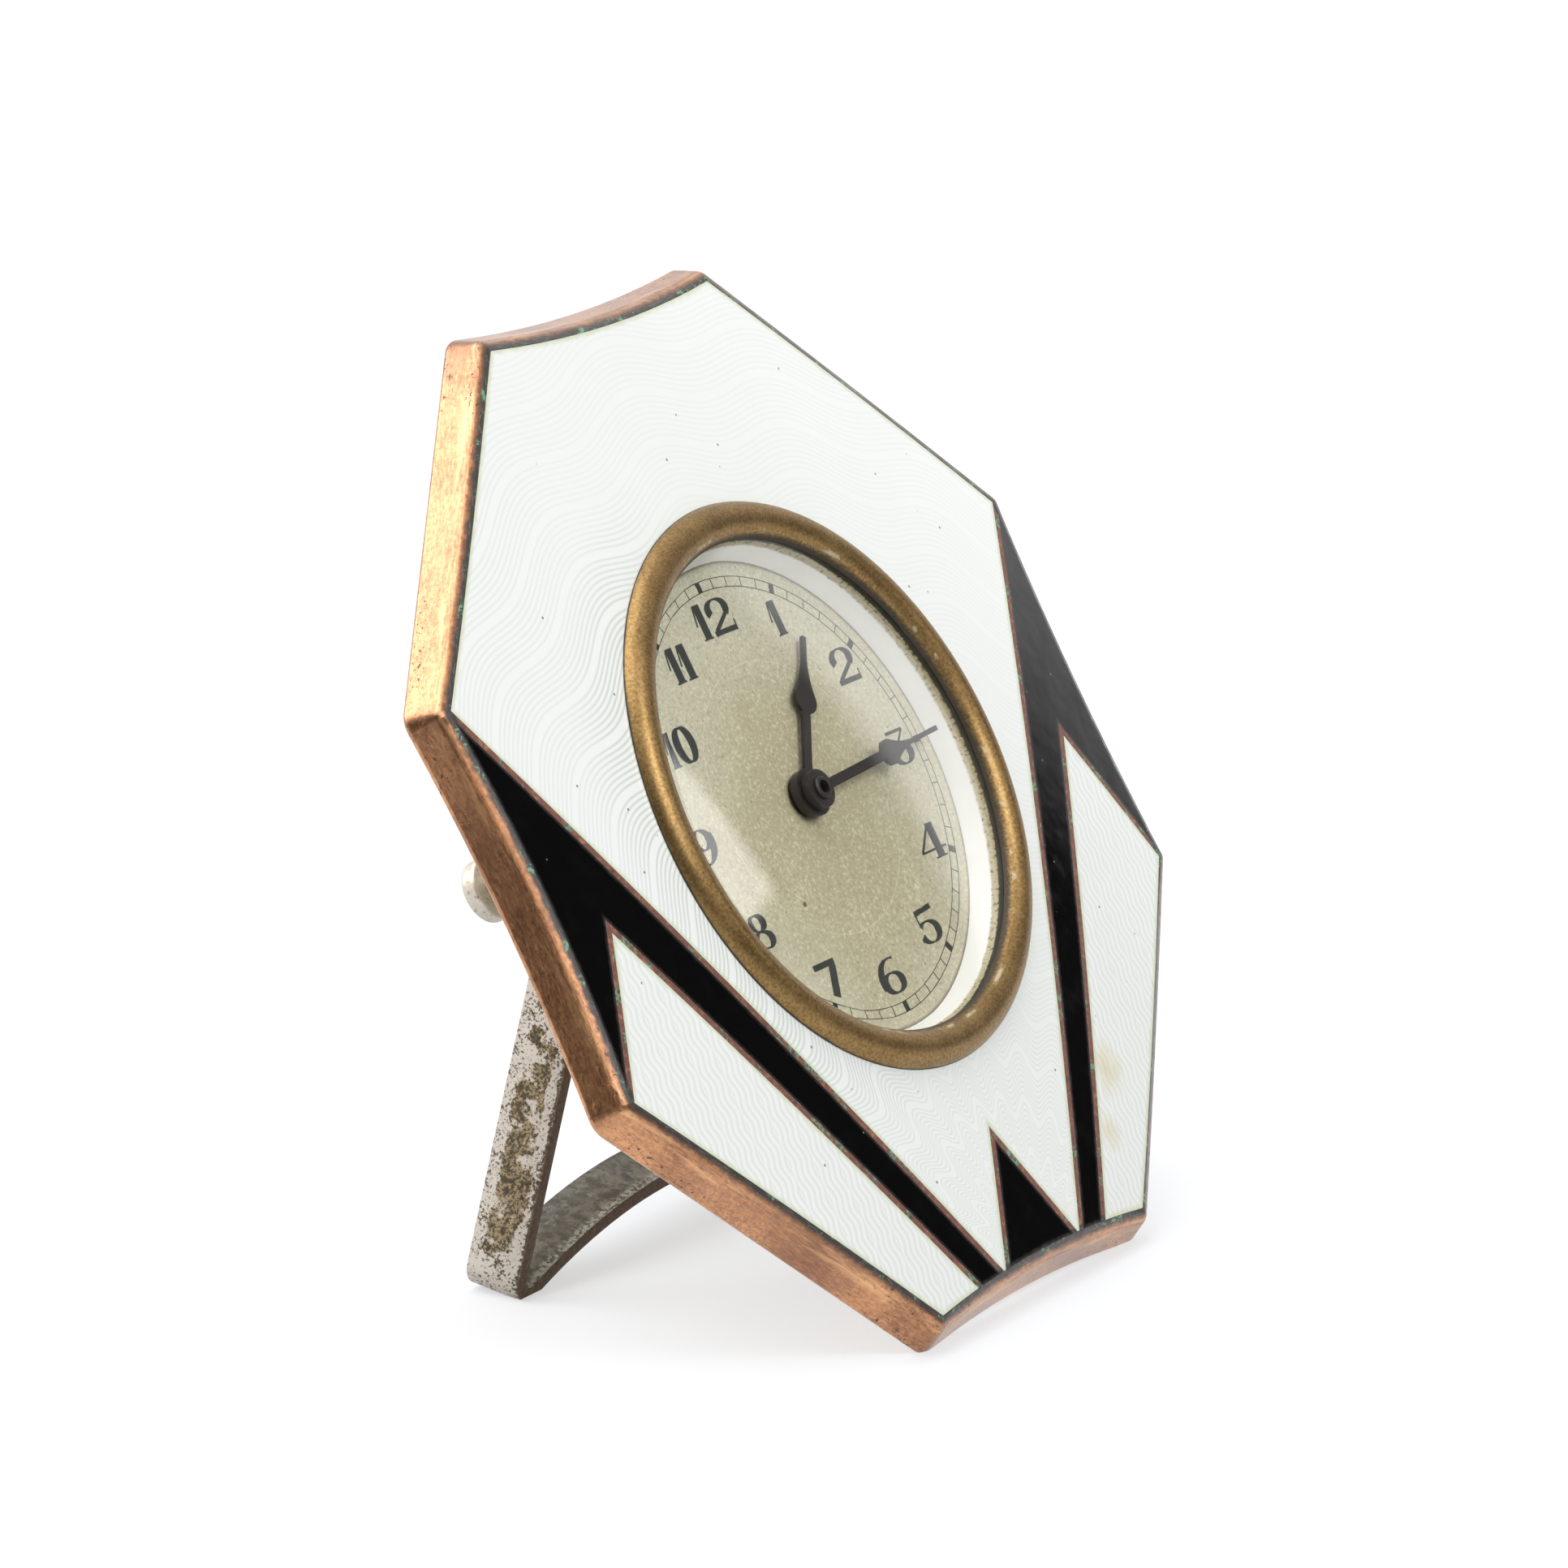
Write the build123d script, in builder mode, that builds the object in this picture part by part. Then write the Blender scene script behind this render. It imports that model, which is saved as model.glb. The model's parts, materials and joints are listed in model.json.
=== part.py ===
from build123d import *
import math
import os

# Sizes are in millimetres and angles in degrees.
# Face coordinates: x to the right, y up the face, z out of the face, from the middle of the dial

# Copper case
lean = 30.0            # how far the face leans back
face_half = 43.5       # half width and half height of the enamelled face
side_half = 16.9       # half chord of each of the four curved sides
side_sag = 1.03        # how far those sides curve inwards
face_corner = 0.6      # rounding of the enamel's outer corners
dome_rise = 1.2        # bulge of the face, from its corners to its middle
enamel_depth = 0.5
wire = 0.6             # copper wall left standing between two enamel cells
lip = 0.9              # copper edge round the enamel
rim_depth = 3.2
rim_flare = 2.5        # how far the back of the rim stands out past the enamel
rim_corner = 2.5
front_round = 1.3      # rounding of the rim's front edge
back_round = 0.35      # rounding of its rear edge
sheet = 0.9            # thickness of the copper
foot_wear = 0.4        # flats worn on the two corners that the clock stands on

# Lines of the enamel pattern
vee_foot = 6.2         # where a white tongue ends on the bottom edge, from the middle
band_foot = 10.0       # where a black band ends on the bottom edge, from the middle
band_share = 0.338     # how far down its inner line a black band meets a lower white panel
band_width = 6.0       # width of the black band there
spike_height = 11.5    # from the bottom edge to the top of the black spike

# Bezel, glass and dial
bezel_height = 2.2     # top of the bezel above the face corners
neck_radius = 23.3     # tube of the bezel that goes through the case
bezel_flange = 2.1     # how far the bezel reaches out past its tube, over the enamel
bezel_cover = 1.35     # how far it reaches in, over the glass
neck_wall = 0.8
glass_edge = 0.8
glass_rise = 2.1
glass_seat = 1.05      # height of the bezel's lip, where the glass stops
dial_drop = 2.6        # from the face corners down to the dial
dial_sheet = 0.4
reflector_slope = 1.2  # how far the silvered ring leans in from the glass to the dial
dial_hole = 1.8
dial_foot = 0.6
dial_foot_inset = 4.7  # from the edge of the movement plates to a foot
reflector_edge = 0.15

# Back of the case
back_sheet = 0.8
case_screw_inset = 3.7 # from the diagonal sides to the screws, across and up
case_screw_radius = 0.8
screw_head_radius = 1.6
screw_head = 0.6
slot_width = 0.4
slot_depth = 0.3
post_radius = 1.9

# Movement drum
drum_step = 2.8        # the tube is this much smaller than its seat in the bezel
drum_wall = 0.8
drum_depth = 17.0      # from the back of the rim to the rear end of the drum
flange_width = 6.0
flange_sheet = 0.8
flange_screw_inset = 1.7
flange_screw_angles = (90.0, 210.0, 330.0)
flange_screw_radius = 0.6
shoulder_wall = 1.2    # inner shoulder that the movement is pushed against
shoulder_height = 0.6
cover_sheet = 0.6
cover_rim = 2.5

# Strut
strut_width = 5.2
strut_sheet = 1.3
strut_tilt = 10.0      # how far the open strut stands from upright
strut_splay = 3.5      # how much wider it is at a foot than at the pivot
strut_arch = 6.4       # rise of the bar between the feet, from where it would meet the legs
strut_bend = 2.2
pivot_depth = 9.95     # from the back of the rim to the strut's pivots
pivot_radius = 0.8
pivot_head = 0.9
pivot_head_radius = 2.0
pivot_boss = 2.6
boss_height = 0.4
stop_radius = 0.7
stop_reach = 5.0       # from the pivot to the pin that stops the strut

# Fits
running_fit = 0.05
press_fit = 0.01
free_gap = 0.1
joint_gap = 0.3

# Movement plates, measured from the dial's front
plate_sheet = 1.0
front_plate_drop = 4.0
plate_space = 8.0      # between the two plates
pillar_radius = 1.3
pillar_inset = 2.5      # from the edge of the plates to a pillar
pillar_angles = (75.0, 200.0, 285.0)
arbor = 0.28
pivot = 0.18
stud = 0.45            # studs that carry the minute wheel and the click
set_arbor_radius = 0.6
centre_arbor = 0.55
barrel_arbor_radius = 1.0

# Wheels of the movement: counts of teeth, and modules against the barrel's
barrel_gap = 1.45      # from the barrel's teeth to the edge of the plates
cannon_teeth = 10
minute_teeth = 30
minute_pinion_teeth = 8
hour_teeth = 32
motion_size = 1.44
set_teeth = 6
barrel_teeth = 64
centre_pinion_teeth = 8
centre_teeth = 56
third_pinion_teeth = 7
centre_size = 0.84
third_teeth = 45
fourth_pinion_teeth = 6
third_size = 0.98
fourth_teeth = 60
escape_pinion_teeth = 6
fourth_size = 0.72
escape_teeth = 15
ratchet_teeth = 24
wheel_sheet = 0.5
wheel_rim = 0.6        # metal left inside a wheel's teeth
wheel_arm = 0.7
wheel_hub = 0.9
third_gap = 1.0        # between the centre wheel and the third wheel
fourth_gap = 1.5       # between the third wheel and the fourth wheel
pinion_length = 1.0
wheel_tip = 1.0        # height of a tooth above the pitch circle, in modules
wheel_root = 1.4       # depth of a tooth below it, in modules
tooth_share = 0.40     # part of the pitch that a wheel's tooth takes up
leaf_share = 0.34      # part of the pitch that a pinion's leaf takes up
tip_share = 0.4        # width of a tooth's tip against its width at the pitch circle

# Directions of the train's arbors, each from the arbor that drives it
set_direction = 162.2
barrel_direction = -20.0
third_direction = 100.0
fourth_direction = 160.0
escape_direction = -100.0
lever_direction = -95.0
click_direction = 72.2

# Barrel, mainspring and winding
barrel_lip = 0.25      # step from the roots of the teeth to the barrel's wall
barrel_height = 4.2
barrel_wall = 0.4
spring_turns = 6
spring_facets = 16     # straight stretches in one turn of a spring
spring_sheet = 0.25
spring_height = 3.0
ratchet_size = 16.0    # radius in barrel modules
ratchet_bite = 0.5
key_span = 4.3         # from the key's axis to the middle of a wing
key_wing = 3.2
key_hole = 1.2
key_sheet = 1.2
key_hub = 1.8
key_stand = 5.4        # from the rear cover to the middle of the wings
click_reach = 2.3      # from the ratchet's tips to the click's pivot
click_radius = 1.0
click_tail = 3.2

# Escapement, its plan in barrel modules
escape_size = 10.4     # radius of the escape wheel
lever_offset = 12.8    # from the escape wheel to the lever's pivot
lever_size = 16.0      # from that pivot to the impulse pin
balance_size = 16.8    # radius of the balance
escape_bite = 0.7
lever_sheet = 0.4
lever_arm = 0.5
pallet_radius = 0.15
pallet_spread = 30.0   # from the lever's line to a pallet, seen from the escape wheel
pallet_clear = 0.07
impulse_radius = 0.15
impulse_throw = 1.0
roller_radius = 1.35
balance_rim = 0.7
balance_sheet = 0.8
hairspring_turns = 5
hairspring_outer = 3.0
hairspring_inner = 0.8
hairspring_sheet = 0.12
hairspring_height = 0.4

# Hands and knob
hour_angle = 36.8
minute_angle = 87.5
hour_short = 5.0       # the hour hand is this much shorter than the minute hand
hour_pear = 9.2
hour_pear_radius = 1.3
minute_gap = 0.8       # from the minute hand's point to the edge of the dial
minute_pear = 12.4
minute_pear_radius = 1.15
hand_sheet = 0.35
hand_stem = 0.9
hand_needle = 0.45     # width of a hand's point
hand_hollow = 0.15     # how far the sides of its shoulder curve inwards, against the swelling
hand_boss = 0.75       # height of a hand's boss
arbor_stand = 0.35     # how far the cannon pinion stands out of the minute hand
arbor_round = 0.2
hand_shoulder = 25.0   # where a hand's point leaves its round swelling
hour_boss = 2.1
minute_boss = 1.7
pipe_wall = 0.4
hour_lift = 0.5        # from the dial to the hour hand
minute_lift = 1.35     # from the dial to the minute hand
knob_radius = 2.8
knob_height = 1.6
knob_edge = 0.32
knob_hub = 1.5
knob_hub_height = 1.8
knob_stand = 4.4       # from the rear cover to the knob's front

os.makedirs("parts", exist_ok=True)


def polar(radius, angle):
    return (radius * math.cos(math.radians(angle)), radius * math.sin(math.radians(angle)))


def step_from(place, distance, direction):
    dx, dy = polar(distance, direction)
    return (place[0] + dx, place[1] + dy)


def cap_rise(radius, edge, rise):
    """Height of a spherical cap above its edge circle, at a radius."""
    ball = (edge ** 2 + rise ** 2) / (2 * rise)
    return math.sqrt(ball ** 2 - radius ** 2) - (ball - rise)


# Heights that several pieces share
face_reach = math.hypot(face_half, side_half)
dome_ball = (face_reach ** 2 + dome_rise ** 2) / (2 * dome_rise)
rim_back = -rim_depth
dial_face = -dial_drop
plate_front = rim_back + back_sheet
drum_back = rim_back - drum_depth
cover_back = drum_back - cover_sheet
knob_front = cover_back - knob_stand
knob_back = knob_front - knob_height
front_plate = dial_face - front_plate_drop
front_inside = front_plate - plate_sheet
rear_inside = front_inside - plate_space
rear_plate = rear_inside - plate_sheet
through = 2 * (rim_depth + dome_rise)

# Radii that several pieces share
bezel_radius = neck_radius + bezel_flange
bezel_lip = neck_radius - bezel_cover
neck_bore = neck_radius - neck_wall
neck_hole = neck_radius + free_gap
glass_radius = neck_bore - free_gap
dial_opening = glass_radius - reflector_slope
drum_radius = glass_radius - drum_step
drum_bore = drum_radius - drum_wall
flange_radius = drum_radius + flange_width
plate_radius = drum_bore - free_gap
strut_top = drum_radius + boss_height + free_gap + strut_sheet
strut_foot = strut_top + strut_splay
minute_reach = dial_opening - minute_gap
hour_reach = minute_reach - hour_short

# Sizes of the movement, from the space between the centre and the edge of the plates
barrel_module = (plate_radius - barrel_gap) / (centre_pinion_teeth / 2 + barrel_teeth + wheel_tip)
motion_module = motion_size * barrel_module
centre_module = centre_size * barrel_module
third_module = third_size * barrel_module
fourth_module = fourth_size * barrel_module
ratchet_radius = ratchet_size * barrel_module
escape_radius = escape_size * barrel_module
lever_distance = lever_offset * barrel_module
lever_length = lever_size * barrel_module
balance_radius = balance_size * barrel_module

# Places of the movement's arbors
motion_distance = (cannon_teeth + minute_teeth) * motion_module / 2
minute_place = step_from((0, 0), motion_distance, set_direction)
set_place = step_from(minute_place, (minute_teeth + set_teeth) * motion_module / 2, set_direction)
barrel_distance = (barrel_teeth + centre_pinion_teeth) * barrel_module / 2
barrel_place = step_from((0, 0), barrel_distance, barrel_direction)
third_distance = (centre_teeth + third_pinion_teeth) * centre_module / 2
third_place = step_from((0, 0), third_distance, third_direction)
fourth_distance = (third_teeth + fourth_pinion_teeth) * third_module / 2
fourth_place = step_from(third_place, fourth_distance, fourth_direction)
escape_distance = (fourth_teeth + escape_pinion_teeth) * fourth_module / 2
escape_place = step_from(fourth_place, escape_distance, escape_direction)
lever_place = step_from(escape_place, lever_distance, lever_direction)
balance_place = step_from(lever_place, lever_length + impulse_throw, lever_direction)
pillar_places = [polar(plate_radius - pillar_inset, angle) for angle in pillar_angles]
pivoted_places = [third_place, fourth_place, escape_place, lever_place, balance_place]
click_place = step_from(barrel_place, ratchet_radius + click_reach, click_direction)

# The leaning frame: the worn corners at the back of the rim stand on the floor
rim_half = face_half + rim_flare
sin_lean = math.sin(math.radians(lean))
cos_lean = math.cos(math.radians(lean))
edge_half = math.atan2(rim_depth, rim_flare - lip) / 2
edge_loss = back_round * (math.cos(math.radians(lean) - edge_half) / math.sin(edge_half) - 1)
centre_height = (rim_half - foot_wear) * cos_lean + rim_depth * sin_lean - edge_loss
front_reach = (face_half + lip) * sin_lean
knob_reach = (set_place[1] + knob_radius) * sin_lean - knob_back * cos_lean
cover_reach = drum_radius * sin_lean - cover_back * cos_lean
back_reach = max(knob_reach, cover_reach)
centre_back = (front_reach - back_reach) / 2
face = Plane((0, centre_back, centre_height), x_dir=(1, 0, 0), z_dir=(0, -cos_lean, sin_lean))


def level(z, place=(0, 0), turn=0.0):
    """Plane parallel to the face, at a height over it and a place on it."""
    origin = face.from_local_coords(Vector(place[0], place[1], z))
    across = face.x_dir.rotate(Axis((0, 0, 0), face.z_dir), turn)
    return Plane(origin, x_dir=across, z_dir=face.z_dir)


def section(place=(0, 0)):
    """Plane through an axis square to the face; its own y runs out of the face."""
    return Plane(level(0, place).origin, x_dir=face.x_dir, z_dir=-face.y_dir)


def spindle(place=(0, 0)):
    return Axis(level(0, place).origin, face.z_dir)


def half_section(outline, place=(0, 0)):
    """Half section of a turned piece, from its (radius, height) corners."""
    with BuildSketch(section(place)) as half:
        with BuildLine():
            Polyline(*outline, close=True)
        make_face()
    return half.sketch


def disc(radius, z, place=(0, 0)):
    with BuildSketch(level(z, place)) as round_face:
        Circle(radius)
    return round_face.sketch


def octagon(z, grow, corner):
    """The case outline at a height, grown past the enamel's edge."""
    half = face_half + grow
    chord = side_half + grow * (math.sqrt(2) - 1)
    with BuildSketch(level(z)) as outline:
        with BuildLine():
            for side in range(4):
                left = Vector(-chord, half).rotate(Axis.Z, -90 * side)
                low = Vector(0, half - side_sag).rotate(Axis.Z, -90 * side)
                right = Vector(chord, half).rotate(Axis.Z, -90 * side)
                corner_end = Vector(half, chord).rotate(Axis.Z, -90 * side)
                ThreePointArc(left, low, right)
                Line(right, corner_end)
        make_face()
        fillet(outline.vertices(), corner)
    return outline.sketch


def tooth_angle(driver_tooth, driver_teeth, teeth, direction):
    """Angle of one tooth of a wheel that is in mesh with its driver."""
    ahead = driver_tooth - direction
    return direction + 180 - ahead * driver_teeth / teeth + 180 / teeth


def toothed(z, teeth, module, share, tooth, place=(0, 0)):
    """Face of a wheel or pinion, with one tooth at a given angle."""
    pitch_radius = teeth * module / 2
    half_tooth = share * 180 / teeth
    root = (pitch_radius - wheel_root * module, 2 * half_tooth - tip_share * half_tooth)
    tip = (pitch_radius + wheel_tip * module, tip_share * half_tooth)
    with BuildSketch(level(z, place)) as wheel:
        with BuildLine():
            outline = []
            for index in range(teeth):
                middle = tooth + 360 * index / teeth
                outline.append(polar(root[0], middle - root[1]))
                outline.append(polar(tip[0], middle - tip[1]))
                outline.append(polar(tip[0], middle + tip[1]))
                outline.append(polar(root[0], middle + root[1]))
            Polyline(*outline, close=True)
        make_face()
    return wheel.sketch


def windows(z, teeth, module, hub, place=(0, 0)):
    """The openings between the four arms of a wheel."""
    outer = (teeth / 2 - wheel_root) * module - wheel_rim
    with BuildSketch(level(z, place)) as openings:
        Circle(outer)
        Circle(hub, mode=Mode.SUBTRACT)
        Rectangle(2 * outer, wheel_arm, mode=Mode.SUBTRACT)
        Rectangle(wheel_arm, 2 * outer, mode=Mode.SUBTRACT)
    return openings.sketch


def saw_toothed(z, teeth, radius, bite, tooth, place=(0, 0)):
    """Face of a wheel with pointed teeth that lean one way."""
    with BuildSketch(level(z, place)) as wheel:
        with BuildLine():
            outline = []
            for index in range(teeth):
                point = tooth + 360 * index / teeth
                outline.append(polar(radius, point))
                outline.append(polar(radius - bite, point - tip_share * 360 / teeth))
            Polyline(*outline, close=True)
        make_face()
    return wheel.sketch


def spiral(z, inner, outer, turns, thickness, place):
    """Face of a flat spiral spring."""
    count = turns * spring_facets
    with BuildSketch(level(z, place)) as strip:
        with BuildLine():
            middle = []
            for k in range(count + 1):
                middle.append((inner + (outer - inner) * k / count, 360 * k / spring_facets))
            outside = [polar(radius + thickness / 2, angle) for radius, angle in middle]
            inside = [polar(radius - thickness / 2, angle) for radius, angle in reversed(middle)]
            Polyline(*outside, *inside, close=True)
        make_face()
    return strip.sketch


def staff(place, low, high, thick_low, thick_high, thick=arbor):
    """Half section of an arbor with thin pivots past its thick middle."""
    outline = [(0, low), (pivot, low), (pivot, thick_low), (thick, thick_low)]
    outline += [(thick, thick_high), (pivot, thick_high), (pivot, high), (0, high)]
    return half_section(outline, place)


def slotted_screws(places, head_z, head_radius, shank_radius, length):
    """Screws seen from behind, with their heads below head_z and their shanks going in."""
    with BuildPart() as screws:
        for place in places:
            extrude(disc(head_radius, head_z - screw_head, place), amount=screw_head)
            extrude(disc(shank_radius, head_z, place), amount=length)
        for place in places:
            with BuildSketch(level(head_z - screw_head, place)):
                Rectangle(2 * head_radius, slot_width)
            extrude(amount=slot_depth, mode=Mode.SUBTRACT)
    return screws


def save(piece, name):
    piece.part.label = name
    export_step(piece.part, f"parts/{name}.step")


dome_middle = level(dome_rise - dome_ball).origin


def flare(z):
    """How far the rim stands out past the enamel's edge, at a height."""
    return lip + (rim_flare - lip) * -z / rim_depth


# Enamel cells: each is cut from the face outline by the lines of the pattern
corner_point = Vector(face_half, side_half)
tongue_end = Vector(vee_foot, -face_half)
panel_peak = corner_point + (tongue_end - corner_point) * band_share + Vector(band_width, 0)
panel_corner = Vector(face_half, -side_half)
panel_end = Vector(band_foot, -face_half)
spike_top = Vector(0, spike_height - face_half)
spike_end = Vector(vee_foot, -face_half)
far = 2 * face_half


def past(start, end):
    """Point twice as far along a line."""
    return start + (end - start) * 2


vee_top = past(tongue_end, corner_point)
main_lines = [vee_top, (far, far), (-far, far), (-vee_top.X, vee_top.Y)]
main_lines += [(-vee_foot, -face_half), spike_top, tongue_end]
band_lines = [vee_top, past(panel_peak, panel_corner), panel_peak, past(panel_peak, panel_end)]
band_lines += [past(corner_point, tongue_end)]
panel_lines = [panel_peak, past(panel_peak, panel_corner), (far, -far), past(panel_peak, panel_end)]
spike_side = past(spike_top, spike_end)
spike_lines = [spike_top, spike_side, (-spike_side.X, spike_side.Y)]


def enamel(lines, hand=1):
    """One enamel panel; hand -1 is its mirror image on the left."""
    with BuildSketch(level(-rim_depth)) as cell:
        add(cell.workplanes[0].to_local_coords(octagon(-rim_depth, wire / 2, face_corner)))
        with BuildSketch(Plane.XY, mode=Mode.PRIVATE) as region:
            with BuildLine():
                Polyline(*[(hand * Vector(*p).X, Vector(*p).Y) for p in lines], close=True)
            make_face()
        add(region.sketch, mode=Mode.INTERSECT)
        offset(amount=-wire / 2, kind=Kind.INTERSECTION, mode=Mode.REPLACE)
    with BuildPart() as panel:
        extrude(cell.sketch, amount=through)
        with Locations(dome_middle):
            Sphere(dome_ball, mode=Mode.INTERSECT)
            Sphere(dome_ball - enamel_depth, mode=Mode.SUBTRACT)
        extrude(disc(neck_hole + lip, -rim_depth), amount=through, mode=Mode.SUBTRACT)
    return panel


panels = {
    "enamel_white_main": enamel(main_lines),
    "enamel_black_left": enamel(band_lines, -1),
    "enamel_black_right": enamel(band_lines),
    "enamel_white_left": enamel(panel_lines, -1),
    "enamel_white_right": enamel(panel_lines),
    "enamel_black_spike": enamel(spike_lines),
}
for name, panel in panels.items():
    save(panel, name)

# Copper case: a flared pan with a domed front, cells cut for the enamel and posts for the back plate
with BuildPart() as hollow:
    loft([octagon(0, flare(0) - sheet, face_corner),
          octagon(2 * rim_back, flare(2 * rim_back) - sheet, rim_corner)])
    with Locations(dome_middle):
        Sphere(dome_ball - enamel_depth - sheet, mode=Mode.INTERSECT)

case_screw_place = (face_half + side_half) / 2 - case_screw_inset
case_screw_places = [(x * case_screw_place, y * case_screw_place) for x in (-1, 1) for y in (-1, 1)]
edge_top = dome_rise / 4
post_height = rim_depth - back_sheet - enamel_depth - sheet / 2
with BuildPart() as case_pan:
    loft([octagon(edge_top, flare(edge_top), face_corner), octagon(rim_back, rim_flare, rim_corner)])
    extrude(octagon(0, -lip, face_corner), amount=2 * dome_rise)
    with Locations(dome_middle):
        Sphere(dome_ball, mode=Mode.INTERSECT)
    fillet(case_pan.faces().filter_by(GeomType.SPHERE)[0].outer_wire().edges(), front_round)
    fillet(case_pan.faces().sort_by(Axis(face.origin, face.z_dir))[0].outer_wire().edges(), back_round)
    add(hollow.part, mode=Mode.SUBTRACT)
    for place in case_screw_places:
        extrude(disc(post_radius, plate_front, place), amount=post_height)
    for place in case_screw_places:
        extrude(disc(case_screw_radius, plate_front, place), amount=sheet, mode=Mode.SUBTRACT)
    for panel in panels.values():
        add(panel.part, mode=Mode.SUBTRACT)
    extrude(disc(neck_hole, rim_back), amount=through, mode=Mode.SUBTRACT)
    split(bisect_by=Plane.XY)
save(case_pan, "case_pan")

# Bezel: a half-round ring with a tube that goes through the case
seat = cap_rise(neck_radius, face_reach, dome_rise)
with BuildPart() as bezel:
    with BuildSketch(section()):
        with BuildLine():
            crown = ((bezel_lip + bezel_radius) / 2, bezel_height)
            ThreePointArc((bezel_radius, seat), crown, (bezel_lip, glass_seat))
            Polyline((bezel_lip, glass_seat), (neck_bore, glass_seat), (neck_bore, plate_front),
                     (neck_radius, plate_front), (neck_radius, seat), (bezel_radius, seat))
        make_face()
    revolve(axis=spindle())
save(bezel, "bezel")

# Domed glass, held between the bezel's lip and the reflector
glass_foot = glass_seat - glass_edge
dome_edge = bezel_lip - free_gap
with BuildPart() as crystal:
    with BuildSketch(section()):
        with BuildLine():
            outer_mid = (dome_edge / 2, glass_seat + cap_rise(dome_edge / 2, dome_edge, glass_rise))
            inner_mid = (dome_edge / 2, outer_mid[1] - glass_edge)
            ThreePointArc((0, glass_seat + glass_rise), outer_mid, (dome_edge, glass_seat))
            Polyline((dome_edge, glass_seat), (glass_radius, glass_seat), (glass_radius, glass_foot),
                     (dome_edge, glass_foot))
            ThreePointArc((dome_edge, glass_foot), inner_mid, (0, glass_foot + glass_rise))
            Line((0, glass_foot + glass_rise), (0, glass_seat + glass_rise))
        make_face()
    revolve(axis=spindle())
save(crystal, "crystal")

# Silvered ring between the dial and the glass
with BuildPart() as reflector:
    revolve(half_section([(dial_opening, dial_face), (glass_radius - reflector_edge, glass_foot),
                          (glass_radius, glass_foot), (glass_radius, dial_face)]), axis=spindle())
save(reflector, "reflector")

# Dial on two feet that go into the movement's front plate
dial_back = dial_face - dial_sheet
dial_foot_reach = plate_radius - dial_foot_inset
dial_feet = [(0, dial_foot_reach), (0, -dial_foot_reach)]
with BuildPart() as dial:
    revolve(half_section([(dial_hole, dial_face), (glass_radius, dial_face),
                          (glass_radius, dial_back), (dial_hole, dial_back)]), axis=spindle())
    for place in dial_feet:
        extrude(disc(dial_foot, dial_back, place), amount=front_inside - dial_back)
save(dial, "dial")

# Back plate of the case, held by four screws
flange_places = [polar(flange_radius - flange_screw_inset, angle) for angle in flange_screw_angles]
with BuildPart() as back_plate:
    loft([octagon(plate_front, flare(plate_front) - sheet - free_gap, rim_corner),
          octagon(rim_back, flare(rim_back) - sheet - free_gap, rim_corner)])
    extrude(disc(glass_radius + joint_gap, rim_back), amount=back_sheet, mode=Mode.SUBTRACT)
    for place in case_screw_places:
        extrude(disc(case_screw_radius + press_fit, rim_back, place), amount=back_sheet, mode=Mode.SUBTRACT)
    for place in flange_places:
        extrude(disc(flange_screw_radius + press_fit, rim_back, place), amount=back_sheet, mode=Mode.SUBTRACT)
save(back_plate, "back_plate")
save(slotted_screws(case_screw_places, rim_back, screw_head_radius, case_screw_radius - press_fit,
                    back_sheet + sheet / 2), "case_screws")

# Movement drum: a tube with a flange, a seat for the dial, pivot bosses and stops for the strut
pivot_z = rim_back - pivot_depth
boss_face = strut_top - strut_sheet - free_gap
flange_back = rim_back - flange_sheet
shoulder = front_plate + shoulder_height
strut_angle = lean + strut_tilt
stop_gap = strut_width / 2 + stop_radius + running_fit
stop_y = -stop_reach * math.cos(math.radians(strut_angle)) + stop_gap * math.sin(math.radians(strut_angle))
stop_z = -stop_reach * math.sin(math.radians(strut_angle)) - stop_gap * math.cos(math.radians(strut_angle))
with BuildPart() as drum:
    revolve(half_section([(drum_bore, dial_back), (glass_radius, dial_back), (glass_radius, rim_back),
                          (flange_radius, rim_back), (flange_radius, flange_back), (drum_radius, flange_back),
                          (drum_radius, drum_back), (drum_bore, drum_back), (drum_bore, front_plate),
                          (drum_bore - shoulder_wall, front_plate), (drum_bore - shoulder_wall, shoulder),
                          (drum_bore, shoulder)]), axis=spindle())
    for hand in (-1, 1):
        side = Plane(level(pivot_z).origin, x_dir=face.y_dir, z_dir=face.x_dir * hand)
        bore = drum_radius - 2 * drum_wall
        with BuildSketch(side.offset(bore)):
            Circle(pivot_boss)
        extrude(amount=boss_face - bore)
        with BuildSketch(Plane(level(pivot_z + stop_z, (0, stop_y)).origin, x_dir=face.y_dir,
                               z_dir=face.x_dir * hand).offset(bore)):
            Circle(stop_radius)
        extrude(amount=strut_top - bore)
    extrude(disc(drum_bore, drum_back), amount=front_plate - drum_back, mode=Mode.SUBTRACT)
    for hand in (-1, 1):
        side = Plane(level(pivot_z).origin, x_dir=face.y_dir, z_dir=face.x_dir * hand)
        with BuildSketch(side.offset(drum_bore - drum_wall)):
            Circle(pivot_radius)
        extrude(amount=drum_radius, mode=Mode.SUBTRACT)
    for place in flange_places:
        extrude(disc(flange_screw_radius + press_fit, flange_back, place), amount=flange_sheet,
                mode=Mode.SUBTRACT)
save(drum, "drum")
save(slotted_screws(flange_places, flange_back, 2 * flange_screw_radius, flange_screw_radius - press_fit,
                    flange_sheet + back_sheet), "flange_screws")

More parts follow.
